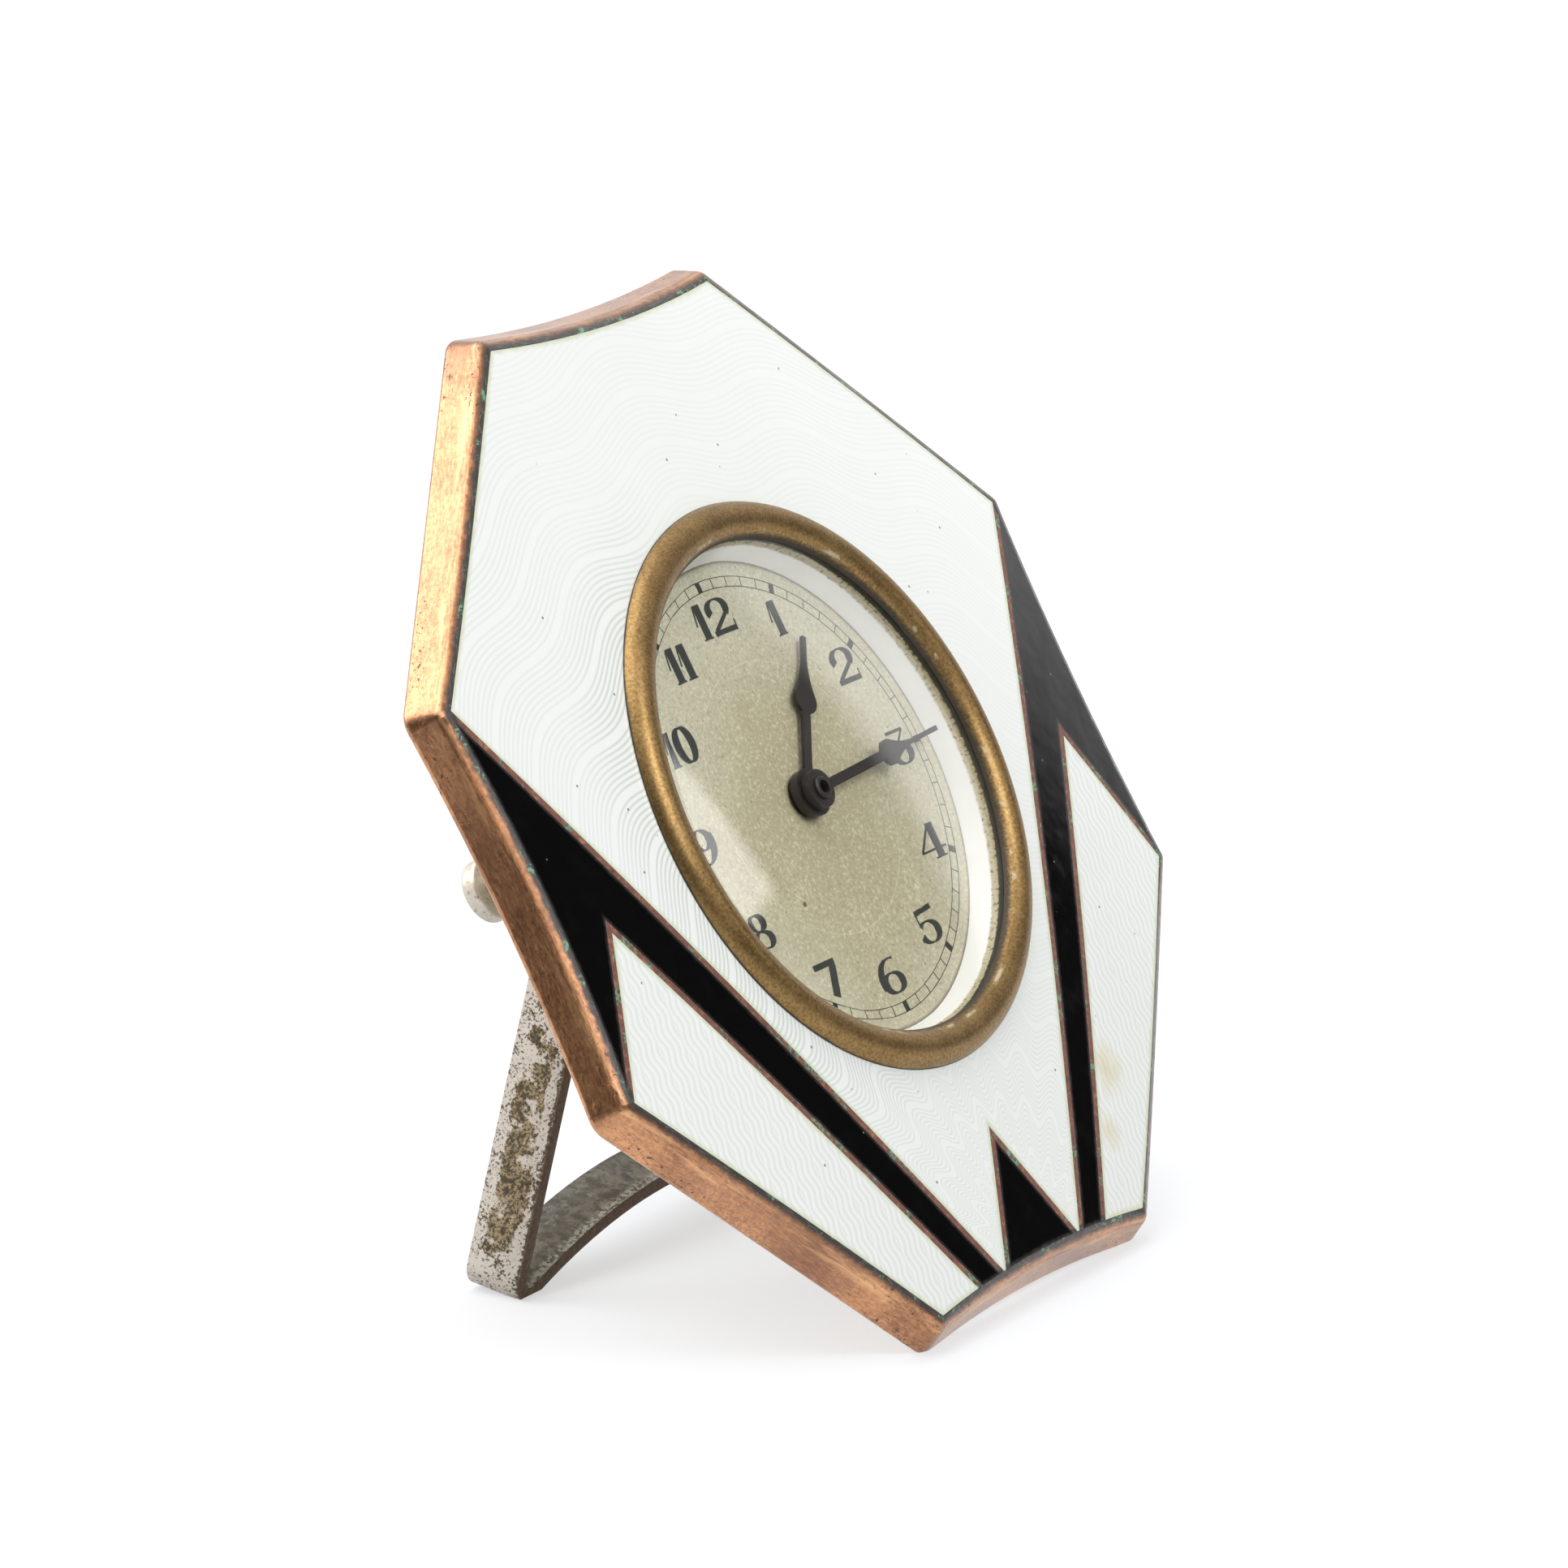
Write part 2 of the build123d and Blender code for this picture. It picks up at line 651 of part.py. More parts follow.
# Strut: a strip bent into a stirrup, whose legs turn on two screws in the drum's sides
pivot_point = level(pivot_z).origin
sin_tilt = math.sin(math.radians(strut_tilt))
cos_tilt = math.cos(math.radians(strut_tilt))
arch_slope = 2 * math.atan(strut_arch / strut_foot)
leg_slope = math.atan(pivot_point.Z / strut_splay)
bend_corner = strut_bend * math.sin((leg_slope + arch_slope) / 2) / math.sin((leg_slope - arch_slope) / 2)
bend_rise = bend_corner - strut_bend
leg = (pivot_point.Z - strut_width / 2 * sin_tilt + foot_wear) / cos_tilt + bend_rise
strut_plane = Plane(pivot_point, x_dir=(1, 0, 0), z_dir=(0, -cos_tilt, -sin_tilt))
with BuildPart() as strut:
    with BuildSketch(strut_plane) as stirrup:
        with BuildLine():
            Polyline((-strut_foot, -leg), (-strut_top, -strut_width), (-strut_top, strut_width),
                     (strut_top, strut_width), (strut_top, -strut_width), (strut_foot, -leg))
            ThreePointArc((strut_foot, -leg), (0, strut_arch - leg), (-strut_foot, -leg))
        make_face()
        fillet(stirrup.vertices().group_by(Axis.Z)[0], strut_bend)
        offset(amount=-strut_sheet, kind=Kind.INTERSECTION, mode=Mode.SUBTRACT)
        with Locations((0, strut_width)):
            Rectangle(4 * strut_top, strut_width, mode=Mode.SUBTRACT)
    extrude(amount=strut_width / 2, both=True)
    leg_ends = strut.edges().filter_by(Axis.X).group_by(Axis.Z)[-2:]
    fillet([edge for group in leg_ends for edge in group], strut_width / 2 - free_gap)
    with BuildSketch(Plane(pivot_point, x_dir=face.y_dir, z_dir=face.x_dir)):
        Circle(pivot_radius + running_fit)
    extrude(amount=strut_foot, both=True, mode=Mode.SUBTRACT)
    split(bisect_by=Plane.XY)
save(strut, "strut")

with BuildPart() as pivot_screws:
    for hand in (-1, 1):
        side = Plane(pivot_point, x_dir=face.y_dir, z_dir=face.x_dir * hand)
        with BuildSketch(side.offset(strut_top + free_gap)):
            Circle(pivot_head_radius)
        extrude(amount=pivot_head)
        with BuildSketch(side.offset(drum_bore + free_gap)):
            Circle(pivot_radius - press_fit)
        extrude(amount=strut_top + free_gap - drum_bore - free_gap)
    for hand in (-1, 1):
        side = Plane(pivot_point, x_dir=face.y_dir, z_dir=face.x_dir * hand)
        with BuildSketch(side.offset(strut_top + free_gap + pivot_head - slot_depth)):
            Rectangle(2 * pivot_head_radius, slot_width)
        extrude(amount=slot_depth, mode=Mode.SUBTRACT)
save(pivot_screws, "pivot_screws")


# Rear cover, a cap with holes for the key and the knob
with BuildPart() as rear_cover:
    revolve(half_section([(0, drum_back), (drum_bore - free_gap - drum_wall, drum_back),
                          (drum_bore - free_gap - drum_wall, drum_back + cover_rim),
                          (drum_bore - free_gap, drum_back + cover_rim), (drum_bore - free_gap, drum_back),
                          (drum_radius, drum_back), (drum_radius, cover_back), (0, cover_back)]),
            axis=spindle())
    for place, radius in [(barrel_place, barrel_arbor_radius), (set_place, set_arbor_radius)]:
        extrude(disc(radius + joint_gap, cover_back, place), amount=cover_sheet, mode=Mode.SUBTRACT)
save(rear_cover, "rear_cover")

# Movement plates with their pivot holes, and the pillars that hold them apart
cannon_low = front_plate + free_gap
hour_level = cannon_low + pinion_length + wheel_sheet
holes = [(place, pivot + running_fit) for place in pivoted_places]
holes += [(barrel_place, barrel_arbor_radius + running_fit), (set_place, set_arbor_radius + running_fit)]
with BuildPart() as movement_front_plate:
    extrude(disc(plate_radius, front_inside), amount=plate_sheet)
    extrude(disc(stud, front_plate, minute_place), amount=hour_level + 2 * wheel_sheet - front_plate)
    for place, radius in holes + [((0, 0), centre_arbor + running_fit)]:
        extrude(disc(radius, front_inside, place), amount=plate_sheet, mode=Mode.SUBTRACT)
    for place in dial_feet:
        extrude(disc(dial_foot + running_fit, front_inside, place), amount=plate_sheet, mode=Mode.SUBTRACT)
save(movement_front_plate, "movement_front_plate")

with BuildPart() as movement_rear_plate:
    extrude(disc(plate_radius, rear_plate), amount=plate_sheet)
    extrude(disc(stud, rear_plate, click_place), amount=-2 * wheel_sheet)
    for place, radius in holes + [((0, 0), pivot + running_fit)]:
        extrude(disc(radius, rear_plate, place), amount=plate_sheet, mode=Mode.SUBTRACT)
    for place in pillar_places:
        extrude(disc(case_screw_radius + press_fit, rear_plate, place), amount=plate_sheet,
                mode=Mode.SUBTRACT)
save(movement_rear_plate, "movement_rear_plate")

with BuildPart() as pillars:
    for place in pillar_places:
        extrude(disc(pillar_radius, rear_inside, place), amount=plate_space)
    for place in pillar_places:
        extrude(disc(case_screw_radius, rear_inside, place), amount=plate_sheet, mode=Mode.SUBTRACT)
save(pillars, "pillars")
save(slotted_screws(pillar_places, rear_plate, screw_head_radius, case_screw_radius - press_fit,
                    2 * plate_sheet - free_gap), "pillar_screws")

# Motion work: cannon pinion, minute wheel and hour wheel, twelve to one
cannon_pitch = cannon_teeth * motion_module / 2
pipe = centre_arbor + running_fit + pipe_wall
minute_hand_low = dial_face + minute_lift
hour_hand_low = dial_face + hour_lift
cannon_tooth = set_direction
minute_tooth = tooth_angle(cannon_tooth, cannon_teeth, minute_teeth, set_direction)
set_tooth = tooth_angle(minute_tooth, minute_teeth, set_teeth, set_direction)
hour_pinion_tooth = set_direction + 180
hour_tooth = tooth_angle(hour_pinion_tooth, minute_pinion_teeth, hour_teeth, set_direction + 180)
with BuildPart() as cannon_pinion:
    extrude(toothed(cannon_low, cannon_teeth, motion_module, leaf_share, cannon_tooth), amount=pinion_length)
    extrude(disc(pipe, cannon_low), amount=minute_hand_low + hand_boss + arbor_stand - cannon_low)
    fillet(cannon_pinion.edges().group_by(spindle())[-1], arbor_round)
    extrude(disc(centre_arbor + running_fit, cannon_low), amount=plate_space, mode=Mode.SUBTRACT)
save(cannon_pinion, "cannon_pinion")

with BuildPart() as minute_wheel:
    extrude(toothed(cannon_low, minute_teeth, motion_module, tooth_share, minute_tooth, minute_place),
            amount=wheel_sheet)
    extrude(toothed(cannon_low, minute_pinion_teeth, motion_module, leaf_share, hour_pinion_tooth,
                    minute_place), amount=hour_level + wheel_sheet - cannon_low)
    extrude(disc(stud + running_fit, cannon_low, minute_place), amount=plate_space, mode=Mode.SUBTRACT)
save(minute_wheel, "minute_wheel")

hour_pipe = pipe + free_gap + pipe_wall
with BuildPart() as hour_wheel:
    extrude(toothed(hour_level, hour_teeth, motion_module, tooth_share, hour_tooth), amount=wheel_sheet)
    extrude(windows(hour_level, hour_teeth, motion_module, hour_pipe + wheel_rim), amount=wheel_sheet,
            mode=Mode.SUBTRACT)
    extrude(disc(hour_pipe, hour_level), amount=hour_hand_low + hand_boss - hour_level)
    extrude(disc(pipe + free_gap, hour_level), amount=plate_space, mode=Mode.SUBTRACT)
save(hour_wheel, "hour_wheel")


def hand(z, angle, reach, pear, pear_radius, boss, bore):
    """A pear-shaped hand: a tall boss, thin stem, round swelling and a long thin point."""
    shoulder_x, shoulder_y = polar(pear_radius, hand_shoulder)
    neck_y = pear + 3 * pear_radius
    waist = ((shoulder_x + hand_needle / 2) / 2 - hand_hollow * pear_radius,
             (pear + shoulder_y + neck_y) / 2)
    with BuildPart() as pointer:
        with BuildSketch(level(z, turn=-angle)):
            with Locations((0, pear / 2)):
                Rectangle(hand_stem, pear)
            with Locations((0, pear)):
                Circle(pear_radius)
            with BuildLine():
                ThreePointArc((-shoulder_x, pear + shoulder_y), (-waist[0], waist[1]),
                              (-hand_needle / 2, neck_y))
                Polyline((-hand_needle / 2, neck_y), (-hand_needle / 2, reach), (hand_needle / 2, reach),
                         (hand_needle / 2, neck_y))
                ThreePointArc((hand_needle / 2, neck_y), waist, (shoulder_x, pear + shoulder_y))
                Line((shoulder_x, pear + shoulder_y), (-shoulder_x, pear + shoulder_y))
            make_face()
        extrude(amount=hand_sheet)
        extrude(disc(boss, z), amount=hand_boss)
        extrude(disc(bore, z), amount=hand_boss, mode=Mode.SUBTRACT)
    return pointer


save(hand(hour_hand_low, hour_angle, hour_reach, hour_pear, hour_pear_radius, hour_boss,
          hour_pipe + press_fit), "hour_hand")
save(hand(minute_hand_low, minute_angle, minute_reach, minute_pear, minute_pear_radius, minute_boss,
          pipe + press_fit), "minute_hand")

# Hand-setting arbor with its pinion, and the knob on its rear end
with BuildPart() as set_arbor:
    extrude(toothed(cannon_low, set_teeth, motion_module, leaf_share, set_tooth, set_place),
            amount=wheel_sheet)
    extrude(disc(set_arbor_radius, knob_back + knob_height / 2, set_place),
            amount=cannon_low - knob_back - knob_height / 2)
save(set_arbor, "set_arbor")

with BuildPart() as set_knob:
    extrude(disc(knob_radius, knob_back, set_place), amount=knob_height)
    fillet(set_knob.edges(), knob_edge)
    extrude(disc(knob_hub, knob_front, set_place), amount=knob_hub_height)
    extrude(disc(set_arbor_radius + press_fit, knob_back + knob_height / 2, set_place), amount=knob_stand,
            mode=Mode.SUBTRACT)
save(set_knob, "set_knob")

# Barrel with its toothed edge, mainspring, arbor, ratchet and click
barrel_front = front_inside - plate_sheet
barrel_low = barrel_front - wheel_sheet - barrel_height
barrel_radius = (barrel_teeth / 2 - wheel_root) * barrel_module - barrel_lip
centre_pinion_tooth = barrel_direction
barrel_tooth = tooth_angle(centre_pinion_tooth, centre_pinion_teeth, barrel_teeth, barrel_direction)
with BuildPart() as barrel:
    extrude(toothed(barrel_front - wheel_sheet, barrel_teeth, barrel_module, tooth_share, barrel_tooth,
                    barrel_place), amount=wheel_sheet)
    extrude(disc(barrel_radius, barrel_low, barrel_place), amount=barrel_height)
    extrude(disc(barrel_radius - barrel_wall, barrel_low + barrel_wall, barrel_place),
            amount=barrel_height - barrel_wall, mode=Mode.SUBTRACT)
    extrude(disc(barrel_arbor_radius + running_fit, barrel_low, barrel_place), amount=plate_space,
            mode=Mode.SUBTRACT)
save(barrel, "barrel")

spring_outer = barrel_radius - barrel_wall - spring_sheet / 2 - free_gap
spring_inner = barrel_arbor_radius + spring_sheet + free_gap
with BuildPart() as mainspring:
    extrude(spiral(barrel_low + 2 * barrel_wall, spring_inner, spring_outer, spring_turns, spring_sheet,
                   barrel_place), amount=spring_height)
save(mainspring, "mainspring")

ratchet_low = rear_plate - free_gap - wheel_sheet
key_middle = cover_back - key_stand
with BuildPart() as barrel_arbor:
    extrude(disc(barrel_arbor_radius, key_middle, barrel_place), amount=front_plate - key_middle)
save(barrel_arbor, "barrel_arbor")

with BuildPart() as ratchet_wheel:
    extrude(saw_toothed(ratchet_low, ratchet_teeth, ratchet_radius, ratchet_bite, click_direction,
                        barrel_place), amount=wheel_sheet)
    extrude(disc(barrel_arbor_radius + press_fit, ratchet_low, barrel_place), amount=wheel_sheet,
            mode=Mode.SUBTRACT)
save(ratchet_wheel, "ratchet_wheel")

with BuildPart() as click:
    with BuildSketch(level(ratchet_low, click_place, click_direction)):
        Circle(click_radius)
        with BuildLine():
            Polyline((0, click_radius), (-click_reach + running_fit, click_tail / 2 + click_radius),
                     (-click_radius / 2, -click_radius / 2), close=True)
        make_face()
        Circle(stud + running_fit, mode=Mode.SUBTRACT)
    extrude(amount=wheel_sheet)
save(click, "click")

with BuildPart() as winding_key:
    with BuildSketch(section(barrel_place)):
        with Locations((-key_span, key_middle), (key_span, key_middle)):
            Circle(key_wing)
        with Locations((0, key_middle)):
            Rectangle(2 * key_span, key_wing)
        with Locations((-key_span, key_middle), (key_span, key_middle)):
            Circle(key_hole, mode=Mode.SUBTRACT)
    extrude(amount=key_sheet / 2, both=True)
    extrude(disc(key_hub, key_middle - key_wing / 2, barrel_place), amount=key_wing + key_hub)
    extrude(disc(barrel_arbor_radius + press_fit, key_middle, barrel_place), amount=key_stand,
            mode=Mode.SUBTRACT)
save(winding_key, "winding_key")

# Going train, from the centre wheel to the escape wheel
pivot_high = front_inside + plate_sheet - running_fit
pivot_low = rear_inside - plate_sheet + running_fit
thick_high = front_inside - running_fit
thick_low = rear_inside + running_fit
centre_level = rear_inside + wheel_sheet + joint_gap
third_level = centre_level + wheel_sheet + third_gap
fourth_level = third_level + wheel_sheet + fourth_gap
third_pinion_tooth = tooth_angle(third_direction, centre_teeth, third_pinion_teeth, third_direction)
fourth_pinion_tooth = tooth_angle(fourth_direction, third_teeth, fourth_pinion_teeth, fourth_direction)
escape_pinion_tooth = tooth_angle(escape_direction, fourth_teeth, escape_pinion_teeth, escape_direction)
leaf_drop = (pinion_length - wheel_sheet) / 2
with BuildPart() as centre_wheel:
    revolve(half_section([(0, pivot_low), (pivot, pivot_low), (pivot, thick_low), (centre_arbor, thick_low),
                          (centre_arbor, minute_hand_low + hand_boss), (0, minute_hand_low + hand_boss)]),
            axis=spindle())
    extrude(toothed(centre_level, centre_teeth, centre_module, tooth_share, third_direction),
            amount=wheel_sheet)
    extrude(windows(centre_level, centre_teeth, centre_module, centre_arbor + wheel_rim), amount=wheel_sheet,
            mode=Mode.SUBTRACT)
    extrude(toothed(barrel_front - wheel_sheet - leaf_drop, centre_pinion_teeth, barrel_module, leaf_share,
                    centre_pinion_tooth), amount=pinion_length)
save(centre_wheel, "centre_wheel")


def train_wheel(place, wheel_z, teeth, module, tooth, pinion_z, leaves, pinion_module, leaf):
    """Arbor with a wheel and the pinion that drives it."""
    with BuildPart() as mobile:
        revolve(staff(place, pivot_low, pivot_high, thick_low, thick_high), axis=spindle(place))
        extrude(toothed(wheel_z, teeth, module, tooth_share, tooth, place), amount=wheel_sheet)
        extrude(windows(wheel_z, teeth, module, wheel_hub, place), amount=wheel_sheet, mode=Mode.SUBTRACT)
        extrude(toothed(pinion_z - leaf_drop, leaves, pinion_module, leaf_share, leaf, place),
                amount=pinion_length)
    return mobile


third_wheel = train_wheel(third_place, third_level, third_teeth, third_module, fourth_direction,
                          centre_level, third_pinion_teeth, centre_module, third_pinion_tooth)
save(third_wheel, "third_wheel")
fourth_wheel = train_wheel(fourth_place, fourth_level, fourth_teeth, fourth_module, escape_direction,
                           third_level, fourth_pinion_teeth, third_module, fourth_pinion_tooth)
save(fourth_wheel, "fourth_wheel")

# Escapement: pointed escape wheel, lever with two pin pallets and a fork, balance with its impulse pin
escape_level = third_level + wheel_sheet + free_gap
lever_level = escape_level - lever_sheet - 2 * free_gap
escape_step = 360 / escape_teeth
escape_tooth = lever_direction + pallet_spread + escape_step / 4
with BuildPart() as escape_wheel:
    revolve(staff(escape_place, pivot_low, pivot_high, thick_low, thick_high), axis=spindle(escape_place))
    extrude(saw_toothed(escape_level, escape_teeth, escape_radius, escape_bite, escape_tooth, escape_place),
            amount=wheel_sheet)
    extrude(toothed(fourth_level - leaf_drop, escape_pinion_teeth, fourth_module, leaf_share,
                    escape_pinion_tooth, escape_place), amount=pinion_length)
save(escape_wheel, "escape_wheel")

pallet_orbit = escape_radius + pallet_clear + pallet_radius
pallet_angles = (lever_direction - pallet_spread, lever_direction + pallet_spread)
pallet_places = [step_from(escape_place, pallet_orbit, angle) for angle in pallet_angles]
fork_gap = impulse_radius + running_fit
with BuildPart() as pallet_lever:
    revolve(staff(lever_place, pivot_low, pivot_high, thick_low, thick_high), axis=spindle(lever_place))
    with BuildSketch(level(lever_level, lever_place, lever_direction)):
        Circle(2 * lever_arm)
        with Locations((lever_length / 2, 0)):
            Rectangle(lever_length + 2 * fork_gap, 2 * fork_gap + lever_arm)
        with Locations((lever_length + fork_gap, 0)):
            Rectangle(4 * fork_gap, 2 * fork_gap, mode=Mode.SUBTRACT)
    extrude(amount=lever_sheet)
    for place in pallet_places:
        with BuildSketch(level(lever_level)):
            with BuildLine():
                Line(lever_place, place)
            trace(line_width=lever_arm)
            with Locations(place):
                Circle(lever_arm / 2)
        extrude(amount=lever_sheet)
        extrude(disc(pallet_radius, lever_level, place), amount=lever_sheet + 2 * wheel_sheet)
save(pallet_lever, "pallet_lever")

impulse_place = step_from(lever_place, lever_length, lever_direction)
balance_level = fourth_level + wheel_sheet
roller_level = lever_level + lever_sheet + joint_gap
with BuildPart() as balance:
    revolve(staff(balance_place, pivot_low, pivot_high, thick_low, thick_high), axis=spindle(balance_place))
    with BuildSketch(level(balance_level, balance_place)):
        Circle(balance_radius)
        Circle(balance_radius - balance_rim, mode=Mode.SUBTRACT)
        Rectangle(2 * balance_radius - balance_rim, balance_rim)
    extrude(amount=balance_sheet)
    extrude(disc(roller_radius, roller_level, balance_place), amount=lever_sheet)
    extrude(disc(impulse_radius, lever_level, impulse_place), amount=roller_level - lever_level)
save(balance, "balance")

hairspring_level = rear_inside + wheel_sheet
stud_place = step_from(balance_place, hairspring_outer, 0)
with BuildPart() as hairspring:
    extrude(spiral(hairspring_level, hairspring_inner, hairspring_outer, hairspring_turns, hairspring_sheet,
                   balance_place), amount=hairspring_height)
    extrude(disc(2 * hairspring_sheet, rear_inside, stud_place), amount=wheel_sheet + hairspring_height)
save(hairspring, "hairspring")
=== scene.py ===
import json
import math
import bmesh
import bpy
from mathutils import Matrix, Vector


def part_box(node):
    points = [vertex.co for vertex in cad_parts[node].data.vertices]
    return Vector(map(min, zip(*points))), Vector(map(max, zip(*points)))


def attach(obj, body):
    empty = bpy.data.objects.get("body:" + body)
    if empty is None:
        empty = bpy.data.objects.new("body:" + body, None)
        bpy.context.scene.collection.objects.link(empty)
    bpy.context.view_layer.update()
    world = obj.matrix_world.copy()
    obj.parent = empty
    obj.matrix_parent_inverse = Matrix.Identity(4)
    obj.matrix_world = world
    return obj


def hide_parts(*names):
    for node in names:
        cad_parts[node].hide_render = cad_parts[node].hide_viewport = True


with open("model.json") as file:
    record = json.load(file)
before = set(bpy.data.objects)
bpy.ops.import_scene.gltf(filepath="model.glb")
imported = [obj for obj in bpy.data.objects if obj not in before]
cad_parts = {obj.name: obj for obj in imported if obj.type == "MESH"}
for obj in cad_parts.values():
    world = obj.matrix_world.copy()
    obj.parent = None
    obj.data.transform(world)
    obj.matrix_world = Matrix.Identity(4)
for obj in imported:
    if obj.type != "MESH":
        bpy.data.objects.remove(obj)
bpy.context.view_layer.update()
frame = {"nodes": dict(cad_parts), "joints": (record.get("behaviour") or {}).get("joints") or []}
nodes = frame["nodes"]
scene = bpy.context.scene
scene.view_settings.view_transform = "Standard"
print("frame loaded:", len(nodes), "nodes")

# The clock's face: x to the right, y up the face, z out of it, in mm from the middle of the dial
face = {"half": 43.5, "sideHalf": 16.9, "sideSag": 1.03, "dialDrop": 2.6, "wall": 0.6, "dome": 1.2}
handJoint = next(j for j in frame["joints"] if j["name"] == "minute_spin")
faceOut = -Vector(handJoint["axis"])
faceUp = Vector((0, faceOut.z, -faceOut.y))
onAxis = Vector(handJoint["pos_m"])
dialTop = max(v.co.dot(faceOut) for v in nodes["dial"].data.vertices)
faceOrigin = onAxis + faceOut * (dialTop + face["dialDrop"] / 1000 - onAxis.dot(faceOut))
faceTurn = Matrix((Vector((1, 0, 0)), faceUp, faceOut)).transposed()
faceToWorld = Matrix.Translation(faceOrigin) @ faceTurn.to_4x4() @ Matrix.Scale(0.001, 4)


def paint(red, green, blue):
    def linear(value):
        value /= 255
        return value / 12.92 if value <= 0.04045 else ((value + 0.055) / 1.055) ** 2.4
    return (linear(red), linear(green), linear(blue), 1.0)


class Graph:
    def __init__(self, tree):
        self.tree = tree
        tree.nodes.clear()

    def put(self, kind, inputs=None, **settings):
        node = self.tree.nodes.new(kind)
        for name, value in settings.items():
            setattr(node, name, value)
        for key, value in (inputs or {}).items():
            self.feed(value, node.inputs[key])
        return node

    def feed(self, value, socket):
        if isinstance(value, bpy.types.NodeSocket):
            self.tree.links.new(value, socket)
        else:
            socket.default_value = value

    def calc(self, operation, *values):
        return self.put("ShaderNodeMath", dict(enumerate(values)), operation=operation).outputs[0]

    def total(self, *values):
        result = values[0]
        for value in values[1:]:
            result = self.calc("ADD", result, value)
        return result

    def times(self, *values):
        result = values[0]
        for value in values[1:]:
            result = self.calc("MULTIPLY", result, value)
        return result

    def without(self, value):  # what is left of 1
        return self.calc("SUBTRACT", 1.0, value)

    def larger(self, *values):
        result = values[0]
        for value in values[1:]:
            result = self.calc("MAXIMUM", result, value)
        return result

    def length(self, x, y):
        return self.calc("SQRT", self.total(self.times(x, x), self.times(y, y)))

    def gap(self, spot, place):
        return self.put("ShaderNodeVectorMath", {0: spot, 1: place}, operation="DISTANCE").outputs["Value"]

    def rise(self, value, low, high):  # 0 below low, 1 above high, smooth between
        return self.put("ShaderNodeMapRange", {"Value": value, "From Min": low, "From Max": high},
                        interpolation_type="SMOOTHSTEP").outputs[0]

    def noise(self, vector, scale, detail=3.0, roughness=0.5):
        return self.put("ShaderNodeTexNoise", {"Vector": vector, "Scale": scale, "Detail": detail,
                                               "Roughness": roughness}).outputs[0]

    def cells(self, vector, scale):
        return self.put("ShaderNodeTexVoronoi", {"Vector": vector, "Scale": scale}).outputs["Distance"]

    def vector(self, x, y, z):
        return self.put("ShaderNodeCombineXYZ", {0: x, 1: y, 2: z}).outputs[0]

    def split(self, vector):
        return self.put("ShaderNodeSeparateXYZ", {0: vector}).outputs

    def blend(self, factor, first, second):
        return self.put("ShaderNodeMix", {0: factor, 6: first, 7: second}, data_type="RGBA").outputs[2]

    def bump(self, height, distance, strength=1.0):
        return self.put("ShaderNodeBump", {"Height": height, "Distance": distance,
                                           "Strength": strength}).outputs[0]

    def place(self):  # millimetres on the face
        spot = self.put("ShaderNodeTexCoord").outputs["Object"]
        turn = faceTurn.transposed()
        return self.put("ShaderNodeMapping", {"Vector": spot, "Scale": (1000, 1000, 1000),
                                              "Rotation": turn.to_euler(),
                                              "Location": -(turn @ faceOrigin) * 1000}).outputs[0]


def newFinish(name):
    material = bpy.data.materials.new(name)
    material.use_nodes = True
    graph = Graph(material.node_tree)
    shader = graph.put("ShaderNodeBsdfPrincipled")
    graph.put("ShaderNodeOutputMaterial", {"Surface": shader.outputs[0]})
    return material, graph, shader


def wear(node, material):
    node.data.materials.clear()
    node.data.materials.append(material)


# Lines of the enamel pattern on the right half; the left half mirrors it
pattern = {"veeFoot": 6.2, "bandFoot": 10.0, "bandShare": 0.338, "bandWidth": 6.0, "spikeHeight": 11.5}


